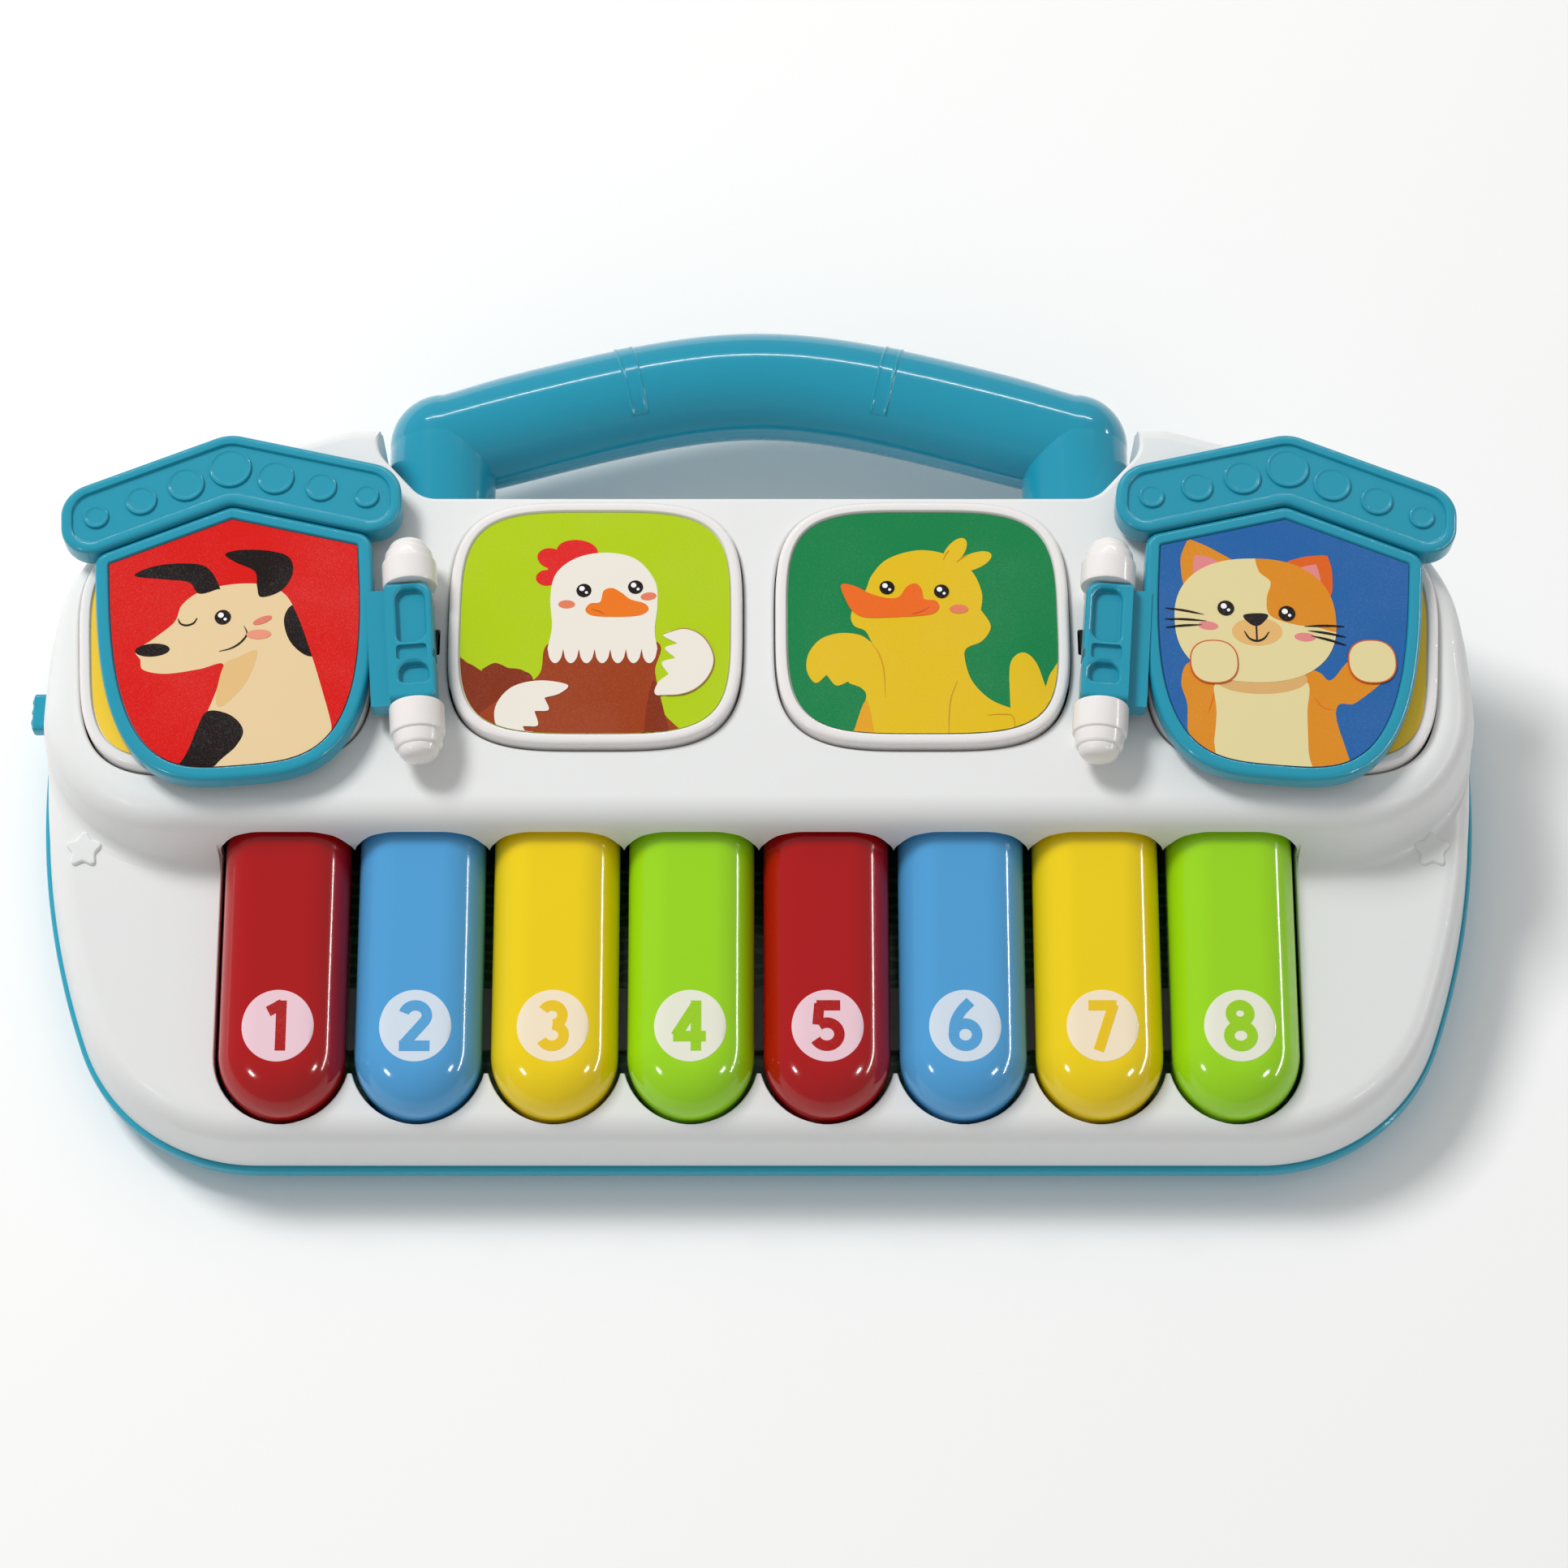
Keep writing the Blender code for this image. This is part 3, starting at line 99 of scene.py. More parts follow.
def evenly(line, count):
    # the same closed line with its points at equal steps of length
    closed = np.vstack([line, line[:1]])
    length = np.concatenate([[0], np.cumsum(np.hypot(*np.diff(closed, axis=0).T))])
    at = np.linspace(0, length[-1], count, endpoint=False)
    return np.stack([np.interp(at, length, closed[:, 0]), np.interp(at, length, closed[:, 1])], -1)


def shrunk(line, distance):
    # p + n d, n being the inward normal of a line that runs counter-clockwise
    along = np.roll(line, -1, 0) - np.roll(line, 1, 0)
    along = along / np.maximum(np.linalg.norm(along, axis=1, keepdims=True), 1e-9)
    inward = np.stack([-along[:, 1], along[:, 0]], -1)
    return line + inward * np.broadcast_to(np.asarray(distance, float).reshape(-1, 1), (len(line), 1))


def mirroredLine(half):
    # the right half, then the same points backwards with x turned over
    return np.vstack([half, half[::-1] * [-1, 1]])


def ribbonLine(path, width, taper=0.0):
    # both sides of a stroke: p + n w/2 one way and p - n w/2 back; taper thins its ends
    along = np.gradient(path, axis=0)
    normal = np.stack([-along[:, 1], along[:, 0]], -1) / np.maximum(np.linalg.norm(along, axis=1,
        keepdims=True), 1e-9)
    share = np.linspace(-1, 1, len(path))[:, None]
    half = width / 2 * (1 - taper * share**2)
    return np.vstack([path - normal * half, (path + normal * half)[::-1]])


def smoothStep(low, high, value):
    # 3t^2 - 2t^3 with t running from 0 at low to 1 at high
    t = np.clip((np.asarray(value, float) - low) / (high - low), 0, 1)
    return t * t * (3 - 2 * t)


def ringsAt(line, steps):
    # stacks a closed line at (shrink, height) steps; a height may be a function of the ring's points
    rings = []
    for distance, height in steps:
        ring = shrunk(line, distance)
        z = height(ring) if callable(height) else np.full(len(ring), float(height))
        rings.append(np.column_stack([ring, z]))
    return np.array(rings)


def quarter(distance, height, wide, tall, count=7, low=0.0):
    # quarter ellipse from a wall to a top: shrink d + w(1 - cos a), height h + t sin a
    a = np.linspace(low, math.pi / 2, count)
    return [(distance + wide * (1 - math.cos(k)), height + tall * math.sin(k)) for k in a]


def loftPart(rings, capStart=True, capEnd=True):
    # quads between neighbouring rings, and one face over each end
    rings = np.asarray(rings, float)
    rows, count = rings.shape[:2]
    index = np.arange(rows * count).reshape(rows, count)
    beside = np.roll(index, -1, 1)
    quads = np.stack([index[:-1], beside[:-1], beside[1:], index[1:]], -1).reshape(-1, 4).tolist()
    if capStart:
        quads.append(index[0][::-1].tolist())
    if capEnd:
        quads.append(index[-1].tolist())
    return rings.reshape(-1, 3), quads


def latheRings(profile, sides=40):
    # circles of radius r at distance v along the y axis, for each (v, r) of the profile
    a = np.linspace(0, 2 * np.pi, sides, endpoint=False)
    return np.array([np.column_stack([r * np.sin(a), np.full(sides, v), r * np.cos(a)]) for v,
        r in profile])


def sheetPart(line, low, high):
    # flat sheet inside any closed line: its Delaunay triangles, the same below, and a wall along open edges
    found = delaunay_2d_cdt([Vector(p) for p in line], [], [list(range(len(line)))], 1, 1e-5)
    flat, top = np.array([tuple(p) for p in found[0]]), np.array([list(f) for f in found[2]])
    corners = flat[top]
    a, b = corners[:, 1] - corners[:, 0], corners[:, 2] - corners[:, 0]
    top = np.where((a[:, 0] * b[:, 1] - a[:, 1] * b[:, 0])[:, None] < 0, top[:, ::-1], top)
    edges = np.vstack([top[:, [0, 1]], top[:, [1, 2]], top[:, [2, 0]]])
    size = len(flat)
    code, back = edges[:, 0] * size + edges[:, 1], edges[:, 1] * size + edges[:, 0]
    rim = edges[~np.isin(code, back)]
    points = np.vstack([np.column_stack([flat, np.full(size, high)]),
        np.column_stack([flat, np.full(size, low)])])
    wall = np.column_stack([rim[:, 1], rim[:, 0], rim[:, 0] + size, rim[:, 1] + size])
    return points, top.tolist() + (top[:, ::-1] + size).tolist() + wall.tolist()


def boxPart(low, high, edge=0.4):
    # a block whose upright edges and rims are rounded
    (x0, y0, z0), (x1, y1, z1) = low, high
    r = edge * 1.5
    line = roundedCorners([(x0, y0, r), (x1, y0, r), (x1, y1, r), (x0, y1, r)], 6)
    steps = [(edge, z0), (edge * 0.3, z0 + edge * 0.3), (0, z0 + edge)] + quarter(0, z1 - edge, edge, edge,
        4)
    return loftPart(ringsAt(line, steps))


def meshObject(name, parts, tints=None, place=None):
    # one mesh from several (points, faces) parts in millimetres, with one tint for each part if there are any
    points = np.vstack([p for p, _ in parts])
    starts = np.cumsum([0] + [len(p) for p, _ in parts[:-1]])
    faces = [[v + int(s) for v in face] for (_, part), s in zip(parts, starts) for face in part]
    if place is not None:
        points = place(points)
    mesh = bpy.data.meshes.new(name)
    mesh.from_pydata((points * mm).tolist(), [], faces)
    if tints is not None:
        colour = np.vstack([np.tile([*linear(t), 1.0], (len(p), 1)) for t, (p, _) in zip(tints, parts)])
        mesh.attributes.new("tint", "FLOAT_COLOR", "POINT").data.foreach_set("color",
            colour.astype(np.float32).ravel())
    mesh.update()
    made = bpy.data.objects.new(name, mesh)
    bpy.context.scene.collection.objects.link(made)
    return made


def combine(target, tool, operation):
    # one exact Boolean, applied at once
    step = target.modifiers.new("cut", "BOOLEAN")
    step.object, step.operation, step.solver = tool, operation, "EXACT"
    mesh = bpy.data.meshes.new_from_object(target.evaluated_get(bpy.context.evaluated_depsgraph_get()))
    target.modifiers.clear()
    target.data = mesh
    bpy.data.objects.remove(tool)
    return target


def cutAway(target, *parts, place=None):
    # target less each part in turn
    for part in parts:
        combine(target, meshObject("tool", [part], place=place), "DIFFERENCE")
    return target


def finishPiece(piece, look, body, replaced=(), sharp=32):
    # smooth faces with crisp edges, its look and the body that it moves with
    piece.data.materials.clear()
    piece.data.materials.append(look)
    piece.data.shade_smooth()
    piece.data.set_sharp_from_angle(angle=math.radians(sharp))
    even = piece.modifiers.new("evenNormals", "WEIGHTED_NORMAL")
    even.keep_sharp = True
    even.weight = 80
    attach(piece, body)
    if replaced:
        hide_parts(*replaced)
    return piece


def linear(colour):
    # display colour 0 to 255 into light: ((c + 0.055) / 1.055)^2.4
    c = np.asarray(colour, float) / 255
    return np.where(c <= 0.04045, c / 12.92, ((c + 0.055) / 1.055) ** 2.4)


class Reading:
    # a number on a surface; + - * / with another reading or a number add Math nodes
    def __init__(self, look, socket):
        # the look that the nodes go into and the socket that gives the number
        self.look, self.socket = look, socket

    def worked(self, operation, a, b):
        # one Math node on a and b
        return self.look.value("ShaderNodeMath", {"operation": operation}, {0: a, 1: b})

    def __add__(self, other):
        return self.worked("ADD", self, other)

    def __radd__(self, other):
        return self.worked("ADD", other, self)

    def __sub__(self, other):
        return self.worked("SUBTRACT", self, other)

    def __rsub__(self, other):
        return self.worked("SUBTRACT", other, self)

    def __mul__(self, other):
        return self.worked("MULTIPLY", self, other)

    def __rmul__(self, other):
        return self.worked("MULTIPLY", other, self)

    def __truediv__(self, other):
        return self.worked("DIVIDE", self, other)

    def __pow__(self, other):
        return self.worked("POWER", self, other)


class Look:
    # a material and the one way that nodes are added to it
    def __init__(self, name, **constants):
        # a new material whose fixed shader values are given by name
        self.material = bpy.data.materials.new(name)
        self.material.use_nodes = True
        self.tree = self.material.node_tree
        self.shader = self.tree.nodes["Principled BSDF"]
        for key, constant in constants.items():
            self.shader.inputs[key.replace("_", " ")].default_value = constant
        self.place = self.add("ShaderNodeTexCoord", {}, {}).outputs["Object"]

    def add(self, kind, settings, inputs):
        # a node of one type: settings first, then each input as a value or a link
        node = self.tree.nodes.new(kind)
        for key, setting in settings.items():
            setattr(node, key, setting)
        for key, given in inputs.items():
            given = given.socket if isinstance(given, Reading) else given
            if isinstance(given, bpy.types.NodeSocket):
                self.tree.links.new(given, node.inputs[key])
            else:
                node.inputs[key].default_value = given
        return node

    def value(self, kind, settings, inputs, output=0):
        # a new node's output as a number that Python can reckon with
        return Reading(self, self.add(kind, settings, inputs).outputs[output])

    def noise(self, scale, detail=2.0, roughness=0.5, stretch=(1, 1, 1)):
        # layered noise on the piece's own coordinates, stretched along the axes
        at = self.add("ShaderNodeMapping", {}, {"Vector": self.place, "Scale": stretch}).outputs[0]
        return self.value("ShaderNodeTexNoise", {}, {"Vector": at, "Scale": scale, "Detail": detail,
            "Roughness": roughness})

    def mixed(self, share, first, second, blend="MIX"):
        # colours go through Mix, never through Math
        node = self.add("ShaderNodeMix", {"data_type": "RGBA", "blend_type": blend},
            {0: share, 6: first, 7: second})
        return node.outputs[2]

    def feed(self, **sockets):
        # each named shader input gets a link
        for key, given in sockets.items():
            given = given.socket if isinstance(given, Reading) else given
            self.tree.links.new(given, self.shader.inputs[key.replace("_", " ")])

    def bump(self, height, strength, distance):
        # surface relief: the height's slope tilts the normal
        node = self.add("ShaderNodeBump", {}, {"Strength": strength, "Distance": distance,
            "Height": height})
        self.feed(Normal=node.outputs[0])


def solid(colour, shade=1.0):
    # display colour into light times shade, with full alpha
    return (*(linear(colour) * shade).tolist(), 1.0)


def mouldedPlastic(name, colour, roughness, coat=0.0, grain=0.02, cloud=0.05, soft=0.0):
    # moulded plastic: broad faint clouds of colour, patchy gloss, hair-fine texture and rare scuffs
    look = Look(name, Coat_Weight=coat, Coat_Roughness=0.04, Specular_IOR_Level=0.25,
        Subsurface_Weight=soft, Subsurface_Scale=0.003)
    broad = look.noise(28, 3.0)
    fine = look.noise(1900, 2.0, 0.6)
    scuff = look.value("ShaderNodeMapRange", {"interpolation_type": "SMOOTHSTEP"}, {
        "Value": look.noise(240, 4.0, 0.7, (1, 0.18, 1)), "From Min": 0.66, "From Max": 0.8, "To Min": 0.0,
        "To Max": 1.0})
    look.feed(Base_Color=look.mixed(broad * cloud, solid(colour), solid(colour, 0.72)))
    look.feed(Roughness=roughness + (broad - 0.5) * 0.08 + scuff * 0.07)
    look.bump(fine * 1.0 + broad * 0.4, grain, 0.00012)
    return look.material


def printedSheet(name, roughness=0.34, coat=0.08):
    # printed film: the piece's own tint, a very fine dot screen and slight waves of gloss
    look = Look(name, Coat_Weight=coat, Coat_Roughness=0.06, Specular_IOR_Level=0.14)
    tint = look.add("ShaderNodeAttribute", {"attribute_name": "tint"}, {}).outputs["Color"]
    dots = look.value("ShaderNodeTexVoronoi", {"feature": "F1"}, {"Vector": look.place, "Scale": 3200.0})
    broad = look.noise(45, 2.0)
    paler = look.mixed((dots - 0.4) * 0.05 + (broad - 0.5) * 0.06, tint, (0.9, 0.9, 0.86, 1))
    look.feed(Base_Color=paler, Roughness=roughness + (broad - 0.5) * 0.1)
    look.bump(look.noise(700, 2.0), 0.02, 0.0001)
    return look.material


def brushedMetal(name, colour=(176, 178, 182)):
    # turned steel: streaks across the part, darker in the streaks' hollows
    look = Look(name, Metallic=1.0)
    streak = look.noise(900, 2.0, 0.6, (0.05, 1, 1))
    look.feed(Base_Color=look.mixed(streak * 0.5, solid(colour), solid(colour, 0.6)),
        Roughness=0.22 + streak * 0.2)
    look.bump(streak, 0.06, 0.0001)
    return look.material


def grainyMatte(name, colour, roughness=0.85, scale=1200.0, depth=0.25):
    # rubber, pressed paper and silicone: fine bumps and cloudy tone
    look = Look(name)
    grain, broad = look.noise(scale, 3.0, 0.6), look.noise(90, 3.0)
    look.feed(Base_Color=look.mixed(broad * 0.5, solid(colour), solid(colour, 0.6)),
        Roughness=roughness - broad * 0.12)
    look.bump(grain, depth, 0.0002)
    return look.material


def circuitBoard(name):
    # green mask over tracks: bands of a wave texture show the copper under it
    look = Look(name, Coat_Weight=0.3)
    track = look.value("ShaderNodeTexWave", {"bands_direction": "Y"},
        {"Vector": look.place, "Scale": 120.0, "Distortion": 6.0})
    lined = look.value("ShaderNodeMath", {"operation": "GREATER_THAN"}, {0: track, 1: 0.72})
    look.feed(Base_Color=look.mixed(lined, solid((20, 105, 58)), solid((60, 142, 74))),
        Roughness=0.42 - lined * 0.1)
    look.bump(lined, 0.1, 0.0001)
    return look.material


def cellSleeve(name):
    # printed sleeve of a cell: two tones split along its length
    look = Look(name, Coat_Weight=0.4)
    across = look.value("ShaderNodeSeparateXYZ", {}, {"Vector": look.place}, 0)
    band = look.value("ShaderNodeMath", {"operation": "GREATER_THAN"}, {0: across, 1: -0.068})
    look.feed(Base_Color=look.mixed(band, solid((48, 50, 56)), solid((190, 128, 44))),
        Roughness=0.25 + look.noise(300) * 0.12)
    return look.material


plastics = {
    "white": (236, 237, 236), "warmWhite": (240, 236, 234), "grip": (28, 150, 178), "teal": (32, 152, 178),
    "tealRim": (44, 163, 190),
    "red": (176, 3, 8), "blue": (80, 163, 220), "yellow": (247, 214, 8), "green": (158, 221, 20),
}
whiteShell = mouldedPlastic("satinWhitePlastic", plastics["white"], 0.4, coat=0.05, soft=0.05)
whiteTrim = mouldedPlastic("glossWhitePlastic", plastics["warmWhite"], 0.26, coat=0.25, soft=0.05)
tealGloss = mouldedPlastic("tealGripPlastic", plastics["grip"], 0.16, coat=0.4)
tealDoor = mouldedPlastic("tealDoorPlastic", plastics["teal"], 0.3, coat=0.3)
tealBase = mouldedPlastic("tealBasePlastic", plastics["tealRim"], 0.36, coat=0.1, grain=0.05)
keyLooks = [mouldedPlastic(n + "KeyPlastic", plastics[n], 0.14, coat=0.4) for n in ("red", "blue", "yellow",
    "green")]
blackPlastic = mouldedPlastic("blackSwitchPlastic", (26, 26, 27), 0.45)
printLook = printedSheet("picturePrint")
numberLook = printedSheet("numberPrint", 0.32, 0.35)
print("materials made")


bodySizes = {"halfWidth": 157.2, "widestY": front + 92.5, "rearY": front + 160.5, "cornerRadius": 42.0,
             "sideRadius": 180.0, "shoulderX": 90.0, "shoulderSlope": 16.4, "draft": 0.17}
deckSizes = {"frontY": front + 61.3, "half": 153.0, "cornerRadius": 30.5, "fillet": 3.4}
notchSizes = {"half": 83.0, "floorHalf": 73.0, "floorY": front + 139.5, "corner": 11.4, "round": 7.0}
keySizes = {"pitch": 28.4, "width": 26.6, "tipY": front + 6.3, "rearY": front + 70.5, "crownZ": 33.5,
            "crownSlope": math.tan(math.radians(8.5)), "rise": 9.0, "shoulder": 8.6, "skirt": 6.0,
            "wall": 2.2,
            "axleY": front + 80.5, "axleZ": 30.0, "plungerLow": 21.7, "hubRadius": 4.4, "hubHalf": 9.0}
buttonSizes = {"inner": (34.7, front + 108.5, 31.2, 28.8), "outer": (113.2, front + 103.0, 30.6, 28.2),
               "top": 52.0, "power": 3.7, "rim": 2.5}
hingeSizes = {"x": 72.5, "y": front + 99.7, "z": 57.0, "turn": 5.0, "barrelHalf": 13.5, "pin": 1.65}


def slopeZ(y):
    # height of the sloping key surface at y
    return levels["slopeStart"] + levels["slope"] * (np.asarray(y) - front)


def bodyLine():
    # front line, corner arc, long side arc, rear corner arc, then the shoulder's straight
    s = bodySizes
    sideX, cornerY = s["halfWidth"] - s["sideRadius"], front + s["cornerRadius"]
    drop = s["widestY"] - cornerY
    cornerX = sideX + math.sqrt((s["sideRadius"] - s["cornerRadius"]) ** 2 - drop**2)
    turn = math.degrees(math.asin(drop / (s["sideRadius"] - s["cornerRadius"])))
    slope = math.tan(math.radians(s["shoulderSlope"]))
    rear = s["rearY"] - s["widestY"] - slope * (s["halfWidth"] - s["shoulderX"])
    rear /= 1 / math.cos(math.radians(s["shoulderSlope"])) - slope
    half = np.vstack([
        arcPoints(cornerX, cornerY, s["cornerRadius"], -90, -turn, 40),
        arcPoints(sideX, s["widestY"], s["sideRadius"], -turn, 0, 20)[1:],
        arcPoints(s["halfWidth"] - rear, s["widestY"], rear, 0, 90 - s["shoulderSlope"], 30)[1:],
        [(s["shoulderX"], s["rearY"])],
    ])
    return evenly(mirroredLine(half), 600)


def deckLine():
    # front edge and round front corners; its sides run on behind the body
    r = deckSizes["cornerRadius"]
    half = np.vstack([arcPoints(deckSizes["half"] - r, deckSizes["frontY"] + r, r, -90, 0, 30),
                      [(deckSizes["half"], bodySizes["rearY"] + 30)]])
    return evenly(mirroredLine(half), 1400)


def reachFrom(line, centre, angles):
    # distance from the centre to a closed line at each angle
    d = line - centre
    a = np.arctan2(d[:, 1], d[:, 0])
    order = np.argsort(a)
    return np.interp(angles, a[order], np.hypot(*d.T)[order], period=2 * np.pi)


def notchLine(grow):
    # the gap in front of the handle: flat floor, S-shaped corners, open behind
    n = notchSizes
    y, top = n["floorY"] - grow, 130.0
    inner, outer = n["floorHalf"] + grow * 0.35, n["half"] + grow
    return roundedCorners([(-inner, y, n["round"]), (inner, y, n["round"]),
        (outer, y + n["corner"] + grow * 0.5, n["round"]),
                           (outer, top, 0), (-outer, top, 0), (-outer, y + n["corner"] + grow * 0.5,
                           n["round"])], 10)


def lowerTier(wall, drop):
    # body outline drawn in and rounded over onto the sloping key surface
    start = 1.05 + wall
    line = bodyLine()
    lean = (slopeZ(line[:, 1]) - 6 - levels["seam"]) * bodySizes["draft"] * (1 - smoothStep(front + 96,
        front + 120, line[:, 1]))
    steps = [(start + 0 * lean, levels["seam"] + 0.3 - (4 if wall else 0))]
    for a in np.linspace(0, math.pi / 2, 10):
        steps.append((start + lean + 5.2 * (1 - math.cos(a)), lambda ring,
            a=a: slopeZ(ring[:, 1]) - 6 * (1 - math.sin(a)) - drop))
    return loftPart(ringsAt(line, steps))


def deckTier(wall, drop):
    # reach at each angle is the soft smaller of body and deck reaches: m - k ln(1 + e^(-|a-b|/k))
    centre, angles = np.array([0.0, front + 112]), np.linspace(-np.pi, np.pi, 720, endpoint=False)
    body, deck = bodyLine(), deckLine()
    nearFront = 1 - smoothStep(front + 66, front + 90, deck[:, 1])

    def ring(insetDeck, insetBody, height, flare=0.0):
        # outline for one pair of insets, at a fixed height or at height(x, y)
        a = reachFrom(shrunk(deck, insetDeck - flare * nearFront), centre, angles)
        b = reachFrom(shrunk(body, insetBody), centre, angles)
        reach = np.minimum(a, b) - 1.6 * np.log1p(np.exp(-np.abs(a - b) / 1.6))
        xy = centre + reach[:, None] * np.stack([np.cos(angles), np.sin(angles)], -1)
        z = height(xy) if callable(height) else np.full(len(xy), height)
        return np.column_stack([xy, z])

    start = 1.3 + wall
    rings = [ring(wall, start, levels["seam"] + 0.3 - (4 if wall else 0))]
    for a in np.linspace(0, math.pi / 2, 8):
        flare = 0 if wall else deckSizes["fillet"] * (1 - math.sin(a))
        rise = deckSizes["fillet"] * (1 - math.cos(a)) - 0.05 - drop / 2
        rings.append(ring(wall + 0.3, start + 0.3, lambda xy, rise=rise: np.minimum(slopeZ(xy[:, 1]),
            36.5) + rise, flare))
    for a in np.linspace(0, math.pi / 2, 12):
        lean = 1 - math.cos(a)
        rings.append(ring(wall + 1.6 + 6.2 * lean, start + 0.9 + 4.4 * lean,
            levels["deck"] - 7.2 * (1 - math.sin(a)) - drop))
    return loftPart(rings)


def keyWay():
    # one scalloped opening round all key tips: an arc of radius half a pitch + grow about each tip centre
    k, half = keySizes, keySizes["pitch"] / 2
    tipY, back = k["tipY"] + k["width"] / 2, deckSizes["frontY"] + 1

    def ring(grow, height):
        # opening grown by grow, with z = height(y)
        line = [[(keyX(0) - half - grow, back)]]
        for i in range(8):
            line.append(arcPoints(keyX(i), tipY, half + grow, 180 if i == 0 else 195,
                360 if i == 7 else 345, 24))
        line.append([(keyX(7) + half + grow, back)])
        line = np.vstack(line)
        return np.column_stack([line, height(line[:, 1])])

    rings = [ring(0, lambda y: 0 * y + 1), ring(0, lambda y: slopeZ(y) - 0.5)]
    for a in np.linspace(0.3, math.pi / 2, 4):
        rings.append(ring(0.4 * (1 - math.cos(a)), lambda y,
            a=a: slopeZ(y) - 0.5 * (1 - math.sin(a)) + 0.01))
    rings.append(ring(0.4, lambda y: slopeZ(y) + 30))
    return loftPart(rings)


def keyX(index):
    # middle of a key: (index - 3.5) pitches from the middle
    return (index - 3.5) * keySizes["pitch"]


def crownZ(y):
    # height of the keys' crown at y
    return keySizes["crownZ"] + keySizes["crownSlope"] * (np.asarray(y) - keySizes["tipY"])


def archWay():
    # arched ways through the deck's front wall; flat tops with elliptic shoulders
    k, gap, half = keySizes, 0.9, keySizes["pitch"] / 2
    spring = float(crownZ(k["rearY"])) + gap - k["rise"]
    shoulder = k["shoulder"] + gap
    line = [[(keyX(0) - half, 16.0), (keyX(7) + half, 16.0)]]
    for i in reversed(range(8)):
        side = arcPoints(0, 0, 1, 7, 90, 14)
        right = side * [shoulder, k["rise"]] + [keyX(i) + half - shoulder, spring]
        left = (side * [-shoulder, k["rise"]] + [keyX(i) - half + shoulder, spring])[::-1]
        line += [right, left]
    line = np.vstack(line)
    return loftPart([np.column_stack([line[:, 0], np.full(len(line), y), line[:, 1]])
                     for y in (deckSizes["frontY"] + 14, deckSizes["frontY"] - 4)])


def buttonPlaces():
    # name, centre, half sizes and turn of each picture button
    return [(f"{name}_{kind}", side * buttonSizes[kind][0], *buttonSizes[kind][1:],
        0 if kind == "inner" else -side * hingeSizes["turn"])
            for name, side in (("left", -1), ("right", 1)) for kind in ("inner", "outer")]


def turned(x, y, degrees):
    # places points drawn about zero: turned, then moved to (x, y)
    c, s = math.cos(math.radians(degrees)), math.sin(math.radians(degrees))

    def place(points):
        # (x + px c - py s, y + px s + py c, pz)
        p = np.array(points, float)
        p[:, 0], p[:, 1] = x + points[:, 0] * c - points[:, 1] * s, y + points[:, 0] * s + points[:, 1] * c
        return p
    return place


def hingePlace(side):
    # hinge frame into the world: u away from the middle, v to the rear along the pin, w up
    h, c, s = hingeSizes, math.cos(math.radians(5)), math.sin(math.radians(5))

    def place(points):
        # turned by 5 degrees in plan, and mirrored for the left side
        u, v, w = np.asarray(points, float).T
        return np.column_stack([side * (h["x"] + u * c + v * s), h["y"] - u * s + v * c, h["z"] + w])
    return place


def sidePart(part, side):
    # a part drawn in the right-hand hinge frame, with its faces turned round on the left
    points, faces = part
    return hingePlace(side)(points), [f[::-1] for f in faces] if side < 0 else faces


def knuckleParts(side):
    # stepped and domed knuckle with a blind bore, and the block that it stands on
    h, gap, parts = hingeSizes, 0.3, []
    for outward, length in ((-1, 9.8), (1, 8.6)):
        dome = [(length + 2.6 * math.sin(a), 4.3 * math.cos(a) ** 0.6) for a in np.linspace(0.05, 1.5, 9)]
        profile = [(6.8, 0.3), (6.8, h["pin"]), (0, h["pin"]), (0, 5.2), (0.15, 5.6), (0.6, 5.8),
            (length * 0.62, 5.8),
                   (length * 0.62 + 0.5, 5.65), (length * 0.62 + 0.8, 5.2), (length - 0.6, 5.0),
                   (length - 0.1, 4.7)] + dome
        points, faces = loftPart(latheRings([(outward * (h["barrelHalf"] + gap + v), r) for v,
            r in profile]))
        parts.append(sidePart((points, faces if outward < 0 else [f[::-1] for f in faces]), side))
        low, high = sorted((outward * (h["barrelHalf"] + gap + 0.3),
            outward * (h["barrelHalf"] + gap + length * 0.7)))
        parts.append(sidePart(boxPart((-4.6, low, -8.6), (4.6, high, -2.2), 0.6), side))
    return parts


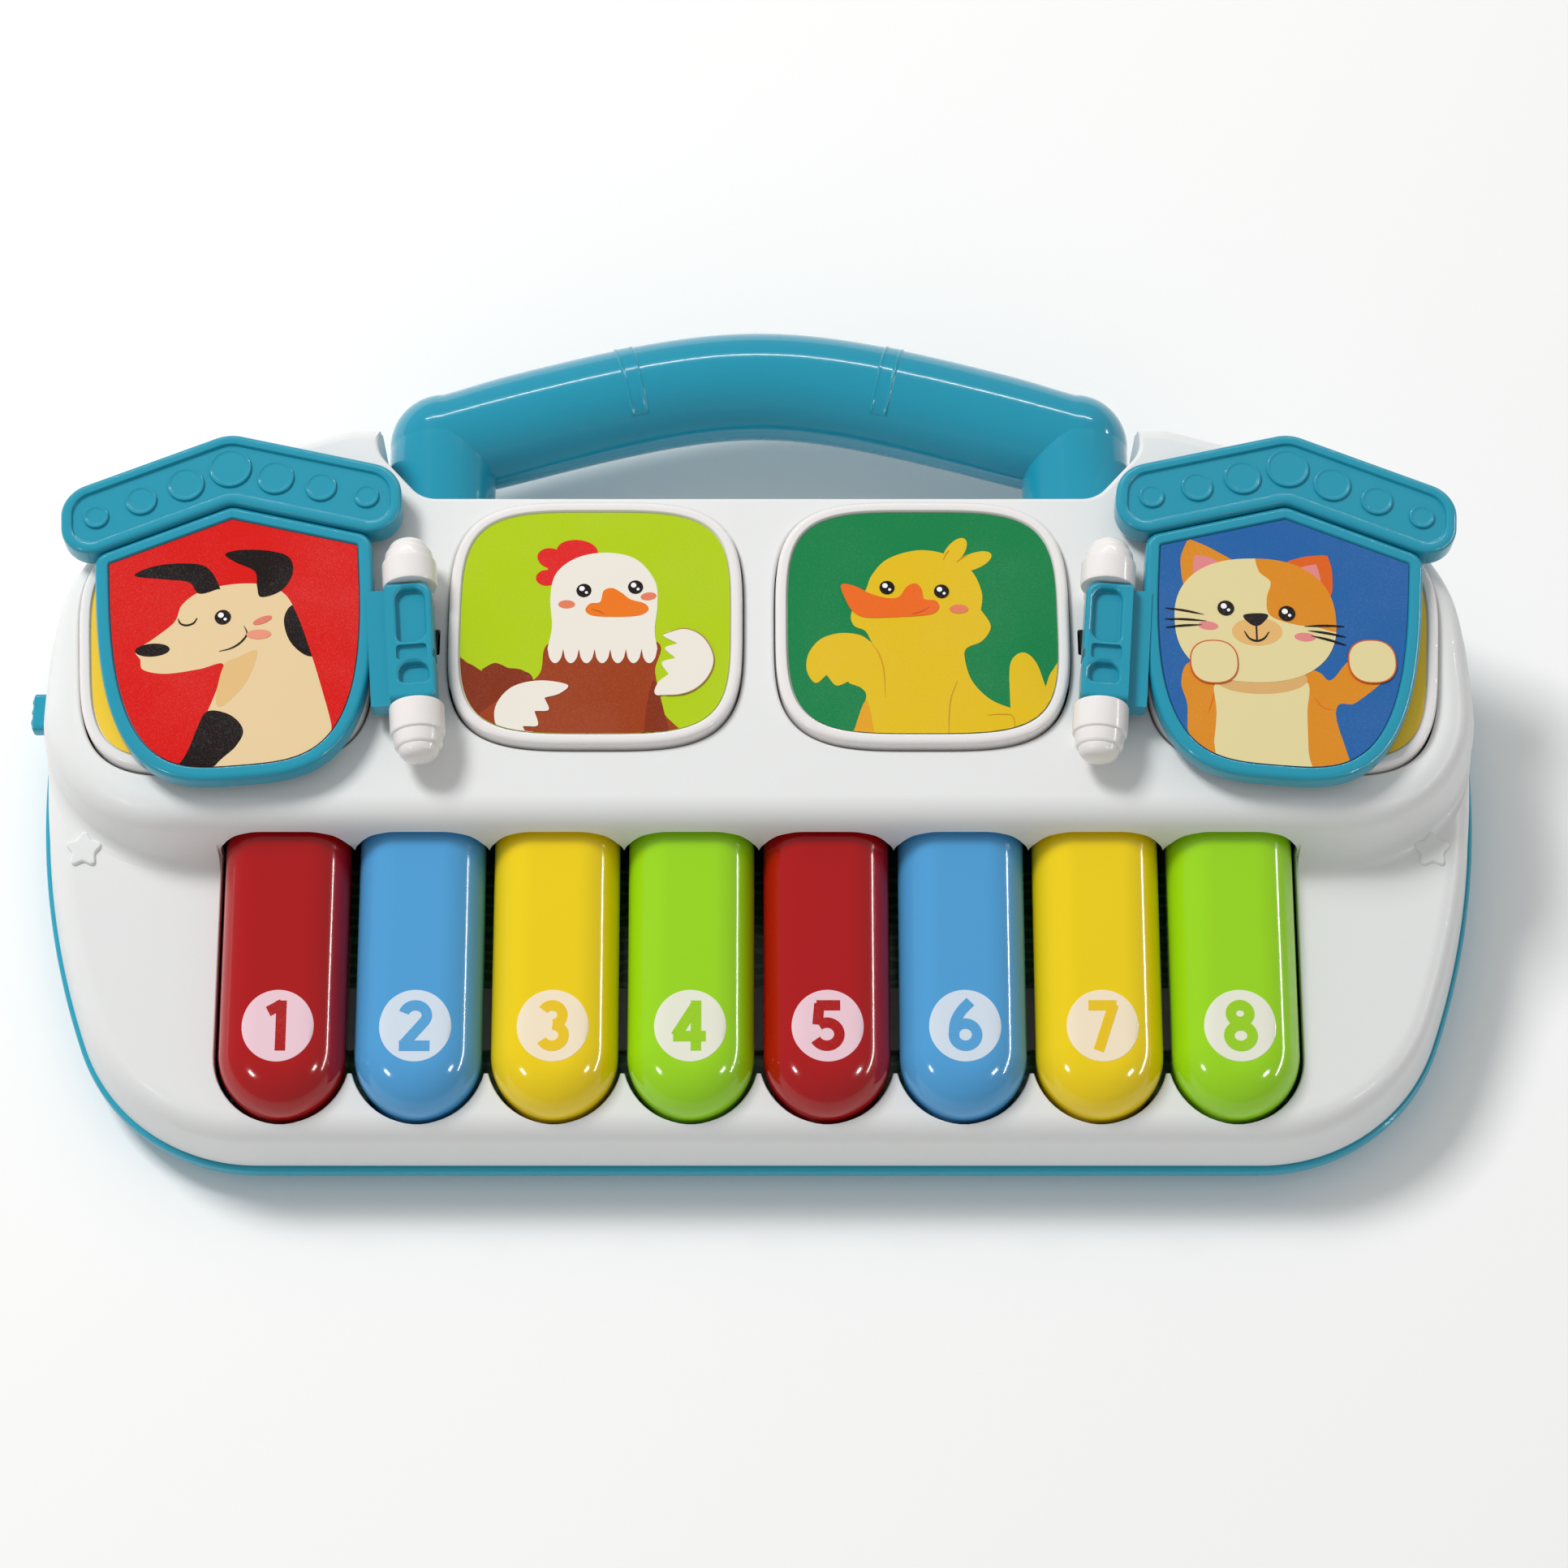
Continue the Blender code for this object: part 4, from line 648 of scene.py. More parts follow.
def makeTopShell():
    # lower tier + deck tier, less the same two tiers 2.4 mm further in, and less every opening
    shell = meshObject("topShell", [lowerTier(0, 0)])
    combine(shell, meshObject("tool", [deckTier(0, 0)]), "UNION")
    hollow = meshObject("tool", [lowerTier(2.4, 2.4)])
    combine(hollow, meshObject("tool", [deckTier(2.4, 2.4)]), "UNION")
    cutAway(hollow, loftPart(ringsAt(notchLine(1.6), [(0, -9), (0, 90)])))
    lip = [(0, -9), (0, levels["deck"] - 1)] + [(-1 * (1 - math.cos(a)),
        levels["deck"] - 1 + math.sin(a)) for a in np.linspace(0.3, 1.55, 5)]
    cutAway(shell, loftPart(ringsAt(notchLine(0), lip + [(-1, 90)])))
    cutAway(shell, keyWay(), archWay())
    top = levels["deck"]
    for _, x, y, halfX, halfY, turn in buttonPlaces():
        line = ovalPoints(0, 0, halfX + 0.35, halfY + 0.35, power=buttonSizes["power"], count=120)
        steps = [(0, top - 8), (0, top - 0.9)] + [(-0.9 * (1 - math.cos(a)),
            top - 0.9 + 0.91 * math.sin(a)) for a in np.linspace(0.3, 1.57, 5)]
        cutAway(shell, loftPart(ringsAt(line, steps + [(-0.9, top + 9)])), place=turned(x, y, turn))
    for side in (-1, 1):
        x = side * (hingeSizes["x"] - 3.2)
        cutAway(shell, boxPart((x - 1.6, hingeSizes["y"] + 1.8, top - 5),
            (x + 1.6, hingeSizes["y"] + 7.8, top + 3), 0.3))
        leg = latheRings([(notchSizes["floorY"] - 14, 9.8), (100, 9.8)])
        points, faces = loftPart(leg)
        cutAway(shell, (points + [side * 71, 0, levels["handle"]], [f[::-1] for f in faces]))
    cutAway(shell, boxPart((-164, front + 94.1, 22.4), (-149, front + 108.9, 27.6), 0.5))
    combine(shell, hollow, "DIFFERENCE")
    return shell


shell = makeTopShell()
print("top shell cut:", len(shell.data.polygons), "faces")
finishPiece(shell, whiteShell, "body", ["top_shell"], 28)
for side, word in ((-1, "Left"), (1, "Right")):
    finishPiece(meshObject("hingeKnuckles" + word, knuckleParts(side)), whiteTrim, "body")


def makeRimBand():
    # smooth skin over the base's rim: outline drawn in along a rounded profile, and back inside it
    outer = [(6.6, 1.6), (4.4, 1.95), (2.7, 2.8), (1.3, 4.0), (0.45, 5.3), (0.06, 6.5), (-0.07, 7.4),
        (-0.07, 9.2), (0.1, 9.75), (0.5, 10.05)]
    inner = [(1.2, 10.05), (1.2, 5.6), (5.4, 3.0), (6.6, 2.6)]
    rings = ringsAt(bodyLine(), outer + inner)
    points, faces = loftPart(np.concatenate([rings, rings[:1]]), False, False)
    band = meshObject("rimBand", [(points, faces)])
    band.data.update()
    step = band.modifiers.new("weld", "WELD")
    step.merge_threshold = 0.00001
    band.data = bpy.data.meshes.new_from_object(band.evaluated_get(bpy.context.evaluated_depsgraph_get()))
    band.modifiers.clear()
    return cutAway(band, loftPart(ringsAt(notchLine(0), [(0, -9), (0, 30)])))


finishPiece(makeRimBand(), tealBase, "body")


def starPart(x, y, radius, lift):
    # five-pointed star with soft corners, standing on the slope
    corners = []
    for i in range(10):
        a, r = math.radians(90 + 36 * i), radius if i % 2 == 0 else radius * 0.55
        corners.append((x + r * math.cos(a), y + r * math.sin(a), radius * 0.16))
    line = evenly(roundedCorners(corners, 6), 160)
    edge = lift * 0.6
    steps = [(0, lambda ring: slopeZ(ring[:, 1]) - 0.6), (0, lambda ring: slopeZ(ring[:, 1]) + lift - edge)]
    for a in np.linspace(0.4, math.pi / 2, 4):
        steps.append((edge * (1 - math.cos(a)), lambda ring, a=a: slopeZ(ring[:,
            1]) + lift - edge * (1 - math.sin(a))))
    return loftPart(ringsAt(line, steps))


finishPiece(meshObject("raisedStars", [starPart(-143, front + 63.5, 4.6, 0.8),
    starPart(142.5, front + 63.5, 4.6, 0.8)]),
            whiteShell, "body")
print("shells finished")


numbers = {"stroke": 2.15, "discRadius": 7.45, "y": front + 23.0,
           "discs": ((244, 208, 218), (217, 230, 243), (253, 236, 205), (240, 240, 222)),
           "inks": ((178, 14, 16), (86, 166, 220), (243, 203, 32), (158, 214, 32))}


def keyLine(shrink, rearY, count=40):
    # round tip of half the width, straight sides, square rear with small corners
    r = keySizes["width"] / 2 - shrink
    y = keySizes["tipY"] + keySizes["width"] / 2
    c = 0.8
    tip = arcPoints(0, y, r, 180, 360, count)
    sides = np.linspace(y, rearY - c, 8)[1:]
    right = np.column_stack([np.full(8 - 1, r), sides])
    corner = arcPoints(r - c, rearY - c, c, 0, 90, 5)[1:]
    far = arcPoints(-r + c, rearY - c, c, 90, 180, 5)
    left = np.column_stack([np.full(8 - 1, -r), sides[::-1]])[:-1]
    return np.vstack([tip, right, corner, far, left])


def keyTopZ(x, y):
    # crown - rise + rise sqrt(1 - ((s - d) / s)^2), d being how far inside the key's outline the point is
    k = keySizes
    r, middle = k["width"] / 2, k["tipY"] + k["width"] / 2
    d = r - np.where(y < middle, np.hypot(x, y - middle), np.abs(x))
    t = np.clip((k["shoulder"] - d) / k["shoulder"], 0, 1)
    return crownZ(y) - k["rise"] + k["rise"] * np.sqrt(1 - t**2)


def keyParts(index):
    # hollow key: inner roof, inner wall, skirt edge, outer wall and shoulder in one run of rings,
    # then the hub, the arm and the plunger
    k, x = keySizes, keyX(index)
    rear = k["rearY"]
    rings = []

    def ring(shrink, height, back=0.0):
        # outline shrunk by shrink, at height above the crown line
        line = keyLine(shrink, rear - back)
        rings.append(np.column_stack([line, crownZ(line[:, 1]) + height]))

    low = -k["rise"] - k["skirt"]
    ring(k["wall"] + 5, -3.2, k["wall"])
    ring(k["wall"], -k["rise"], k["wall"])
    ring(k["wall"] - 0.4, low + 0.1, k["wall"])
    ring(1.2, low, 0.5)
    ring(0.6, low + 0.05, 0.1)
    ring(0.3, low + 0.4)
    for a in np.linspace(0, math.pi / 2, 14):
        ring(k["shoulder"] * (1 - math.cos(a)), -k["rise"] + k["rise"] * math.sin(a))
    points, faces = loftPart(rings)
    hub = latheRings([(-k["hubHalf"], 2.15), (-k["hubHalf"], k["hubRadius"]),
        (k["hubHalf"], k["hubRadius"]), (k["hubHalf"], 2.15), (-k["hubHalf"], 2.15)], 32)
    hubPoints, hubFaces = loftPart(hub, False, False)
    hubPoints = hubPoints[:, [1, 0, 2]] + [0, k["axleY"], k["axleZ"]]
    arm = boxPart((-k["hubHalf"], rear - 1, k["axleZ"] - 3), (k["hubHalf"], k["axleY"] - 3.4,
        k["axleZ"] + 3.4), 0.3)
    low = k["plungerLow"]
    plunger = latheRings([(low, 2.8), (low + 0.6, 3.1), (34.0, 3.1)], 24)
    post, postFaces = loftPart(plunger)
    post = post[:, [0, 2, 1]] + [0, front + 32, 0]
    made = [(points, faces), (hubPoints, hubFaces), arm, (post, postFaces)]
    return [(p + [x, 0, 0], f) for p, f in made]


def digitPaths(number):
    # centrelines of the strokes of each digit, from arcs and straight runs
    def run(*points):
        # smooth open line through the points
        return splinePoints(points, 8, closed=False)

    def arc(x, y, rx, ry, start, end):
        # part of an oval about (x, y), between two angles in degrees
        return np.array([x, y]) + arcPoints(0, 0, 1, start, end, 32) * [rx, ry]

    return {
        1: [run((0.7, -5.2), (0.7, 5.2)), run((0.9, 4.5), (-2.0, 2.9))],
        2: [np.vstack([arc(0, 2.1, 2.4, 2.1, 165, -38), [(-2.5, -4.2)]]), run((-3.2, -4.2), (3.1, -4.2))],
        3: [arc(-0.1, 2.2, 2.1, 2.0, 150, -85), arc(-0.1, -2.0, 2.4, 2.2, 88, -152)],
        4: [run((1.2, -5.2), (1.2, 5.2)), run((1.3, 4.5), (-3.0, -2.2)), run((-3.5, -2.2), (3.2, -2.2))],
        5: [run((-2.3, 4.2), (2.6, 4.2)), run((-1.7, 4.6), (-2.1, 0.2)),
        arc(-0.2, -1.8, 2.6, 2.4, 128, -152)],
        6: [arc(0, -1.9, 2.4, 2.3, -2, 182), arc(0, -1.9, 2.4, 2.3, 178, 362),
        run((-2.4, -2.0), (-2.1, 0.6), (-0.9, 2.9), (1.1, 5.0))],
        7: [run((-2.9, 4.2), (2.9, 4.2)), run((2.3, 4.4), (-1.0, -5.2))],
        8: [arc(0, y, rx, ry, start, start + 184) for y, rx, ry in ((2.5, 1.9, 1.75),
        (-2.1, 2.4, 2.15)) for start in (-2, 178)],
    }[number]


def numberParts(index):
    # thin disc on the key's own curved top, with the strokes of its digit a hair higher
    n, x = numbers, keyX(index)
    angle = np.linspace(0, 2 * np.pi, 72, endpoint=False)
    rings = []
    for radius, lift in [(n["discRadius"], -0.15), (n["discRadius"], 0.03),
            (n["discRadius"] - 0.05, 0.07)] + [(n["discRadius"] * s, 0.08) for s in (0.9, 0.75, 0.6, 0.45,
            0.3, 0.15, 0.02)]:
        px, py = radius * np.cos(angle), n["y"] + radius * np.sin(angle)
        rings.append(np.column_stack([px + x, py, keyTopZ(px, py) + lift]))
    parts, tints = [loftPart(rings)], [n["discs"][index % 4]]
    for path in digitPaths(index + 1):
        points, faces = sheetPart(ribbonLine(path, n["stroke"]), 0.0, 1.0)
        points = points + [x, n["y"], 0]
        points[:, 2] = keyTopZ(points[:, 0] - x, points[:, 1]) + np.where(points[:, 2] > 0.5,
            0.11 + 0.015 * len(parts), 0.0)
        parts.append((points, faces))
        tints.append(n["inks"][index % 4])
    return parts, tints


for index in range(8):
    body = f"key_{index + 1}"
    key = meshObject(f"pianoKey{index + 1}", keyParts(index))
    finishPiece(key, keyLooks[index % 4], body, [body])
    parts, tints = numberParts(index)
    finishPiece(meshObject(f"keyNumber{index + 1}", parts, tints), numberLook, body)
print("keys finished")


gripSizes = {"radius": 12.1, "rear": 96.75, "rise": 16.0, "bend": 30.0, "endX": 71.0, "bandX": 28.5}


def gripY(x):
    # hyperbola: (sqrt(1 + (x/b)^2) - 1) over its value at the end, times the rise
    g = gripSizes
    end = math.hypot(1, g["endX"] / g["bend"]) - 1
    return g["rear"] - g["radius"] - g["rise"] * (np.hypot(1, np.asarray(x) / g["bend"]) - 1) / end


def gripFrame(x):
    # centre of the grip at x and its unit direction, which straightens near the ends
    g = gripSizes
    slope = (gripY(x + 0.5) - gripY(x - 0.5)) * smoothStep(0, 22, g["endX"] - np.abs(x))
    along = np.stack([np.ones_like(x), slope], -1) / np.hypot(1, slope)[:, None]
    return np.stack([x, gripY(x)], -1), along


def gripPoint(x, around, radius):
    # circle across the grip's direction: centre + r (cos a across + sin a up)
    centre, along = gripFrame(x)
    across = np.stack([along[:, 1], -along[:, 0]], -1)
    flat = centre + across * (radius * np.cos(around))[:, None]
    return np.column_stack([flat, levels["handle"] + radius * np.sin(around)])


def gripRings(sides=96):
    # tube with egg-shaped ends; a hair-thin groove runs round it where its halves meet
    g = gripSizes
    around = np.linspace(0, 2 * np.pi, sides, endpoint=False)
    groove = 0.2 * (np.abs(np.sin(around)) < 0.02)
    rings = []
    for a in np.linspace(np.pi / 2 - 0.04, 0.0, 14)[:-1]:
        rings.append((-g["endX"] - g["radius"] * 1.0 * math.sin(a), math.cos(a)))
    for x in np.linspace(-g["endX"], g["endX"], 90):
        rings.append((x, 1.0))
    for a in np.linspace(0, np.pi / 2 - 0.04, 14)[1:]:
        rings.append((g["endX"] + g["radius"] * 1.0 * math.sin(a), math.cos(a)))
    made = []
    for x, share in rings:
        inside = float(np.clip(x, -g["endX"], g["endX"]))
        ring = gripPoint(np.full(sides, inside), around, (g["radius"] - groove) * share)
        ring[:, 0] += x - inside
        made.append(ring)
    return made


def gripBand(middleX):
    # slim rounded strip over the crest: a grid in (x, angle) lifted where a soft box mask is 1
    g = gripSizes
    xs = np.linspace(-2.4, 2.4, 33)
    turns = np.radians(np.linspace(42, 162, 81))
    rings = []
    X, A = np.meshgrid(xs, turns, indexing="ij")
    arc = (A - turns.mean()) * g["radius"]
    halfArc = (turns[-1] - turns[0]) * g["radius"] / 2
    dx, da = np.abs(X) / 2.0, np.abs(arc) / (halfArc - 0.4)
    level = np.maximum(dx, da * 1.0)
    lift = 0.38 * (1 - smoothStep(0.9, 1.03, level)) - 0.14 * (1 - smoothStep(0.62, 0.74,
        np.maximum(dx, 1 - (1 - da) * (halfArc / 2.0)))) - 0.06
    points = gripPoint(middleX + X.ravel(), A.ravel(), g["radius"] + lift.ravel())
    rows, count = X.shape
    index = np.arange(rows * count).reshape(rows, count)
    quads = np.stack([index[:-1, :-1], index[1:, :-1], index[1:, 1:], index[:-1, 1:]], -1).reshape(-1, 4)
    under = gripPoint(middleX + X.ravel(), A.ravel(), np.full(X.size, g["radius"] - 0.5))
    rim = np.concatenate([index[0, :-1], index[:-1, -1], index[-1, :0:-1], index[:0:-1, 0]])
    off = rows * count
    sides = np.stack([rim, np.roll(rim, -1), np.roll(rim, -1) + off, rim + off], -1)
    return np.vstack([points, under]), quads.tolist() + (quads[:, ::-1] + off).tolist() + sides[:,
        ::-1].tolist()


def gripParts():
    # tube swept along the grip, and a leg turned about its own axis at each end
    g, n = gripSizes, notchSizes
    tube = loftPart(gripRings())
    parts = [(tube[0], [f[::-1] for f in tube[1]])]
    for side in (-1, 1):
        floorY, end = n["floorY"], float(gripY(g["endX"]))
        profile = [(floorY - 4.4, 6.0), (floorY - 4.4, 11.2), (floorY - 4.0, 11.6), (floorY - 2.1, 11.6),
            (floorY - 1.9, 9.5), (floorY + 0.4, 9.5),
                   (floorY + 0.6, 11.3), (floorY + 1.2, 11.8), (end - 8, 11.95), (end, 12.0),
                   (end + 4, 11.3), (end + 8, 8.9), (end + 11.4, 3.6)]
        points, faces = loftPart(latheRings(profile, 48))
        parts.append((points + [side * g["endX"], 0, levels["handle"]], [f[::-1] for f in faces]))
    return parts


finishPiece(meshObject("carryHandle", gripParts()), tealGloss, "body",
    ["handle_upper", "handle_lower"])
for side, word in ((-1, "Left"), (1, "Right")):
    band = meshObject("gripBand" + word, [gripBand(side * gripSizes["bandX"])])
    finishPiece(band, tealGloss, "body", sharp=60)
print("handle finished")


def framedPlate(line, low, high, rim, well, edge=0.9, under=0.0):
    # plate with a rounded rim and a sunk middle: well floor, inner wall, rim, outer wall in one run of rings
    steps = []
    if under:
        steps += [(rim + 0.2, low + under), (rim, low + under - 0.2), (rim - 0.2, low + 0.1)]
    steps += [(edge * 0.8, low), (edge * 0.25, low + edge * 0.25), (0, low + edge * 0.8)]
    steps += quarter(0, high - edge, edge, edge, 6)
    steps += [(rim - 0.7, high), (rim - 0.35, high - 0.1), (rim - 0.12, high - 0.4), (rim, high - well)]
    return loftPart(ringsAt(line, steps))


def clampedInside(line, outline):
    # points past the card's edge are drawn back to it along the ray from its middle
    middle = (outline.max(0) + outline.min(0)) / 2
    d = line - middle
    reach = reachFrom(evenly(outline, 1200), middle, np.arctan2(d[:, 1], d[:, 0]))
    share = np.minimum(1, reach / np.maximum(np.hypot(*d.T), 1e-6))
    return middle + d * share[:, None]


def picture(name, outline, ground, layers, top, place, body, replaced, tilt=0.0, down=False):
    # printed card: the card itself, then one thin closed sheet for each shape, each a little higher
    parts, tints = [sheetPart(outline, top - 0.5, top)], [ground]
    c, s = math.cos(math.radians(-tilt)), math.sin(math.radians(-tilt))
    for order, (shape, tint) in enumerate(layers):
        line = np.asarray(shape, float)
        line = np.column_stack([line[:, 0] * c - line[:, 1] * s, line[:, 0] * s + line[:, 1] * c])
        line = clampedInside(line, outline)
        high = top + 0.02 + 0.012 * order
        parts.append(sheetPart(line, top - 0.2, high))
        tints.append(tint)
    made = meshObject(name, [(place(p), f) for p, f in parts], tints)
    return finishPiece(made, printLook, body, replaced)


def eyes(*places, size=1.6):
    # black ovals, each with a large and a small glint
    layers = []
    for x, y in places:
        layers += [(ovalPoints(x, y, size, size), ink["black"]),
            (ovalPoints(x - 0.42, y + 0.45, size * 0.36, size * 0.36), ink["glint"]),
                   (ovalPoints(x + 0.55, y - 0.5, size * 0.2, size * 0.2), ink["glint"])]
    return layers


def stroke(points, width, tint, taper=0.0):
    # a drawn line: ribbon along a smooth curve through the points
    return ribbonLine(splinePoints(points, 8, closed=False), width, taper), tint


def cut(shape, outline):
    # keeps a shape's marks inside another shape
    return clampedInside(np.asarray(shape, float), outline)


ink = {
    "black": (24, 14, 12), "glint": (250, 250, 250), "red": (218, 20, 14), "lime": (180, 208, 12),
    "green": (16, 130, 72),
    "blue": (38, 100, 168), "yellow": (255, 212, 62), "henWhite": (241, 234, 222),
    "henBrown": (158, 62, 20),
    "henDark": (134, 48, 16), "comb": (226, 36, 34), "beak": (240, 122, 28), "blush": (232, 128, 92),
    "duck": (231, 192, 27),
    "duckShade": (232, 164, 28), "bill": (240, 108, 32), "duckLine": (205, 150, 30), "dog": (234, 207, 160),
    "dogShade": (230, 190, 128),
    "dogBlush": (228, 128, 108), "catCream": (232, 217, 160), "cat": (224, 142, 32),
    "catDark": (226, 100, 30), "muzzle": (232, 184, 112),
    "earPink": (229, 138, 138), "pawLine": (206, 96, 40), "catShade": (222, 176, 110),
}


def scallops(x0, x1, y, depth, teeth):
    # drips between two x: y - depth sqrt|sin| with one arch for each tooth
    s = np.linspace(0, 1, teeth * 9 + 1)
    return np.column_stack([x0 + (x1 - x0) * s, y - depth * np.sqrt(np.abs(np.sin(np.pi * teeth * s)))])


def henLayers():
    # hen, from the back layer to the front: smooth closed lines, ovals and scalloped edges
    head = np.vstack([
        splinePoints([(13.2, -6.4), (12.6, -2.0), (13.1, 3.6), (12.6, 9.4), (8.6, 14.7), (2.4, 16.4),
        (-4.2, 15.2), (-8.6, 11.4), (-9.7, 5.6),
                      (-9.2, -1.2), (-10.0, -6.4)], 8, closed=False),
        scallops(-10.0, 13.2, -6.5, 3.4, 7)])
    body = splinePoints([(-8.6, -4.5), (12.4, -4.5), (12.8, -12.0), (14.6, -21.0), (16.0, -29.0),
        (-30.0, -31.0), (-22.0, -20.0), (-12.0, -13.0)], 10)
    return [
        (splinePoints([(-30, -9.6), (-26.6, -9.9), (-23.9, -11.6), (-23.6, -11.2), (-21.0, -9.8),
        (-18.2, -11.0), (-17.9, -11.0), (-15.0, -11.6),
                       (-12.6, -14.6), (-11, -29), (-31, -29)], 8), ink["henDark"]),
        (body, ink["henBrown"]),
        (splinePoints([(12.6, -14.0), (15.0, -22.0), (16.4, -29.0), (11.2, -29.0), (11.0, -21.0)], 8),
        ink["henDark"]),
        (ovalPoints(-10.6, 10.4, 2.3, 1.9), ink["comb"]), (ovalPoints(-9.6, 15.0, 3.2, 2.4, -20),
        ink["comb"]),
        (ovalPoints(-4.2, 16.8, 4.4, 2.7, -6), ink["comb"]), (ovalPoints(-6.6, 12.6, 3.8, 3.6),
        ink["comb"]),
        (head, ink["henWhite"]),
        (ovalPoints(-6.2, 4.0, 1.8, 1.0), ink["blush"]), (ovalPoints(11.2, 5.9, 1.7, 0.95, 8),
        ink["blush"]),
        (splinePoints([(-2.2, 2.6), (-1.2, 4.2), (0.9, 4.6), (1.6, 7.2), (3.4, 7.9), (5.4, 6.8), (7.4, 5.2),
        (10.4, 4.2), (11.2, 2.6), (9.0, 1.3),
                       (4.0, 1.0), (-0.6, 1.3)], 8), ink["beak"]),
        stroke([(-1.0, 2.9), (0.8, 2.3), (1.9, 1.5)], 0.3, (200, 86, 22), 0.7),
        *eyes((-2.6, 7.3), (8.4, 8.1)),
        (splinePoints([(-5.6, -15.0), (-11.6, -14.0), (-17.4, -15.6), (-20.6, -20.0), (-20.2, -25.0),
        (-17.2, -28.0), (-13.6, -28.0), (-14.6, -25.0),
                       (-14.4, -24.6), (-11.6, -24.4), (-12.3, -21.4), (-12.1, -21.1), (-9.4, -20.8),
                       (-10.3, -18.2), (-10.0, -17.9), (-7.2, -17.0)], 7),
         ink["henWhite"]),
        (splinePoints([(14.4, -3.2), (19.0, -1.9), (23.0, -4.0), (25.1, -9.0), (23.4, -13.8), (19.4, -16.8),
        (13.2, -17.4), (13.4, -14.6), (15.6, -12.6),
                       (15.6, -12.4), (14.2, -9.8), (16.8, -8.8), (16.8, -8.5), (14.8, -6.4), (17.2, -5.4),
                       (17.1, -5.1)], 7), ink["henWhite"]),
        stroke([(14.4, -3.1), (19.0, -1.8), (23.1, -3.9), (25.2, -9.0), (23.5, -13.9), (19.4, -17.0),
        (13.6, -17.5)], 0.22, (176, 120, 78), 0.3),
    ]


def duckLayers():
    # duck, from the back layer to the front: smooth lines and ovals
    body = splinePoints([
        (-12.0, 7.4), (-10.6, 11.0), (-7.2, 14.9), (-0.8, 17.0), (5.4, 16.0), (10.6, 12.2), (12.8, 6.8),
        (12.5, 2.6), (12.7, 2.4), (14.5, -1.2),
        (12.6, -4.6), (9.3, -6.3), (8.8, -8.8), (10.2, -14.0), (13.8, -18.2), (17.9, -20.2), (18.1, -19.8),
        (18.2, -11.0), (19.6, -8.0), (21.8, -7.5),
        (24.0, -10.0), (25.6, -15.2), (25.8, -15.0), (27.2, -11.6), (31.0, -8.6), (32.0, -30.0),
        (0.0, -31.0), (-15.4, -29.0), (-14.6, -25.0),
        (-12.2, -18.2), (-13.0, -15.8), (-15.6, -14.6), (-15.9, -14.2), (-18.4, -15.1), (-20.3, -12.8),
        (-20.6, -12.8), (-22.8, -14.5), (-24.6, -11.6),
        (-24.2, -7.6), (-21.6, -4.2), (-17.6, -2.8), (-13.4, -3.2), (-10.9, -4.9), (-11.1, -4.3),
        (-12.2, -2.2), (-14.6, -0.9), (-15.0, 2.2)], 6)
    return [
        (ovalPoints(7.2, 16.6, 3.9, 1.9, 56), ink["duck"]), (ovalPoints(11.0, 14.3, 4.4, 1.9, 24),
        ink["duck"]),
        (body, ink["duck"]),
        (splinePoints([(-12.3, -18.6), (-14.6, -25.0), (-15.6, -29.5), (-10.8, -29.5), (-11.0, -23.0)], 8),
        ink["duckShade"]),
        (splinePoints([(31.0, -19.0), (26.0, -23.0), (20.0, -25.6), (12.0, -26.6), (18.0, -30.5),
        (31.0, -30.5)], 8), ink["duckShade"]),
        stroke([(-11.0, -4.9), (-9.2, -8.0), (-8.3, -12.0), (-8.1, -18.0)], 0.26, ink["duckLine"], 0.8),
        stroke([(7.1, -14.0), (5.7, -18.0), (5.2, -22.0), (5.0, -27.4)], 0.24, ink["duckLine"], 0.6),
        stroke([(13.4, -22.0), (16.0, -21.8), (18.5, -22.2), (19.0, -25.4)], 0.22, ink["duckLine"], 0.6),
        stroke([(4.7, 14.6), (5.3, 16.0), (6.0, 17.0)], 0.2, ink["duckLine"], 0.6),
        stroke([(7.6, 14.2), (8.8, 15.2), (10.0, 16.0)], 0.2, ink["duckLine"], 0.6),
        (ovalPoints(7.8, 2.9, 2.0, 1.05), ink["blush"]),
        (splinePoints([(-17.2, 8.6), (-14.6, 8.5), (-10.8, 6.5), (-7.4, 5.5), (-4.9, 5.8), (-3.2, 8.2),
        (-1.4, 9.0), (-0.1, 7.8), (0.5, 5.3), (2.9, 4.9),
                       (3.6, 3.2), (1.6, 1.6), (-5.2, 1.0), (-11.8, 0.9), (-14.6, 2.2), (-16.2, 5.0)], 7),
                       ink["bill"]),
        stroke([(-2.6, 1.6), (-0.4, 2.2), (1.8, 3.5)], 0.3, (206, 84, 24), 0.7),
        *eyes((-7.4, 8.0), (4.2, 7.1)),
    ]


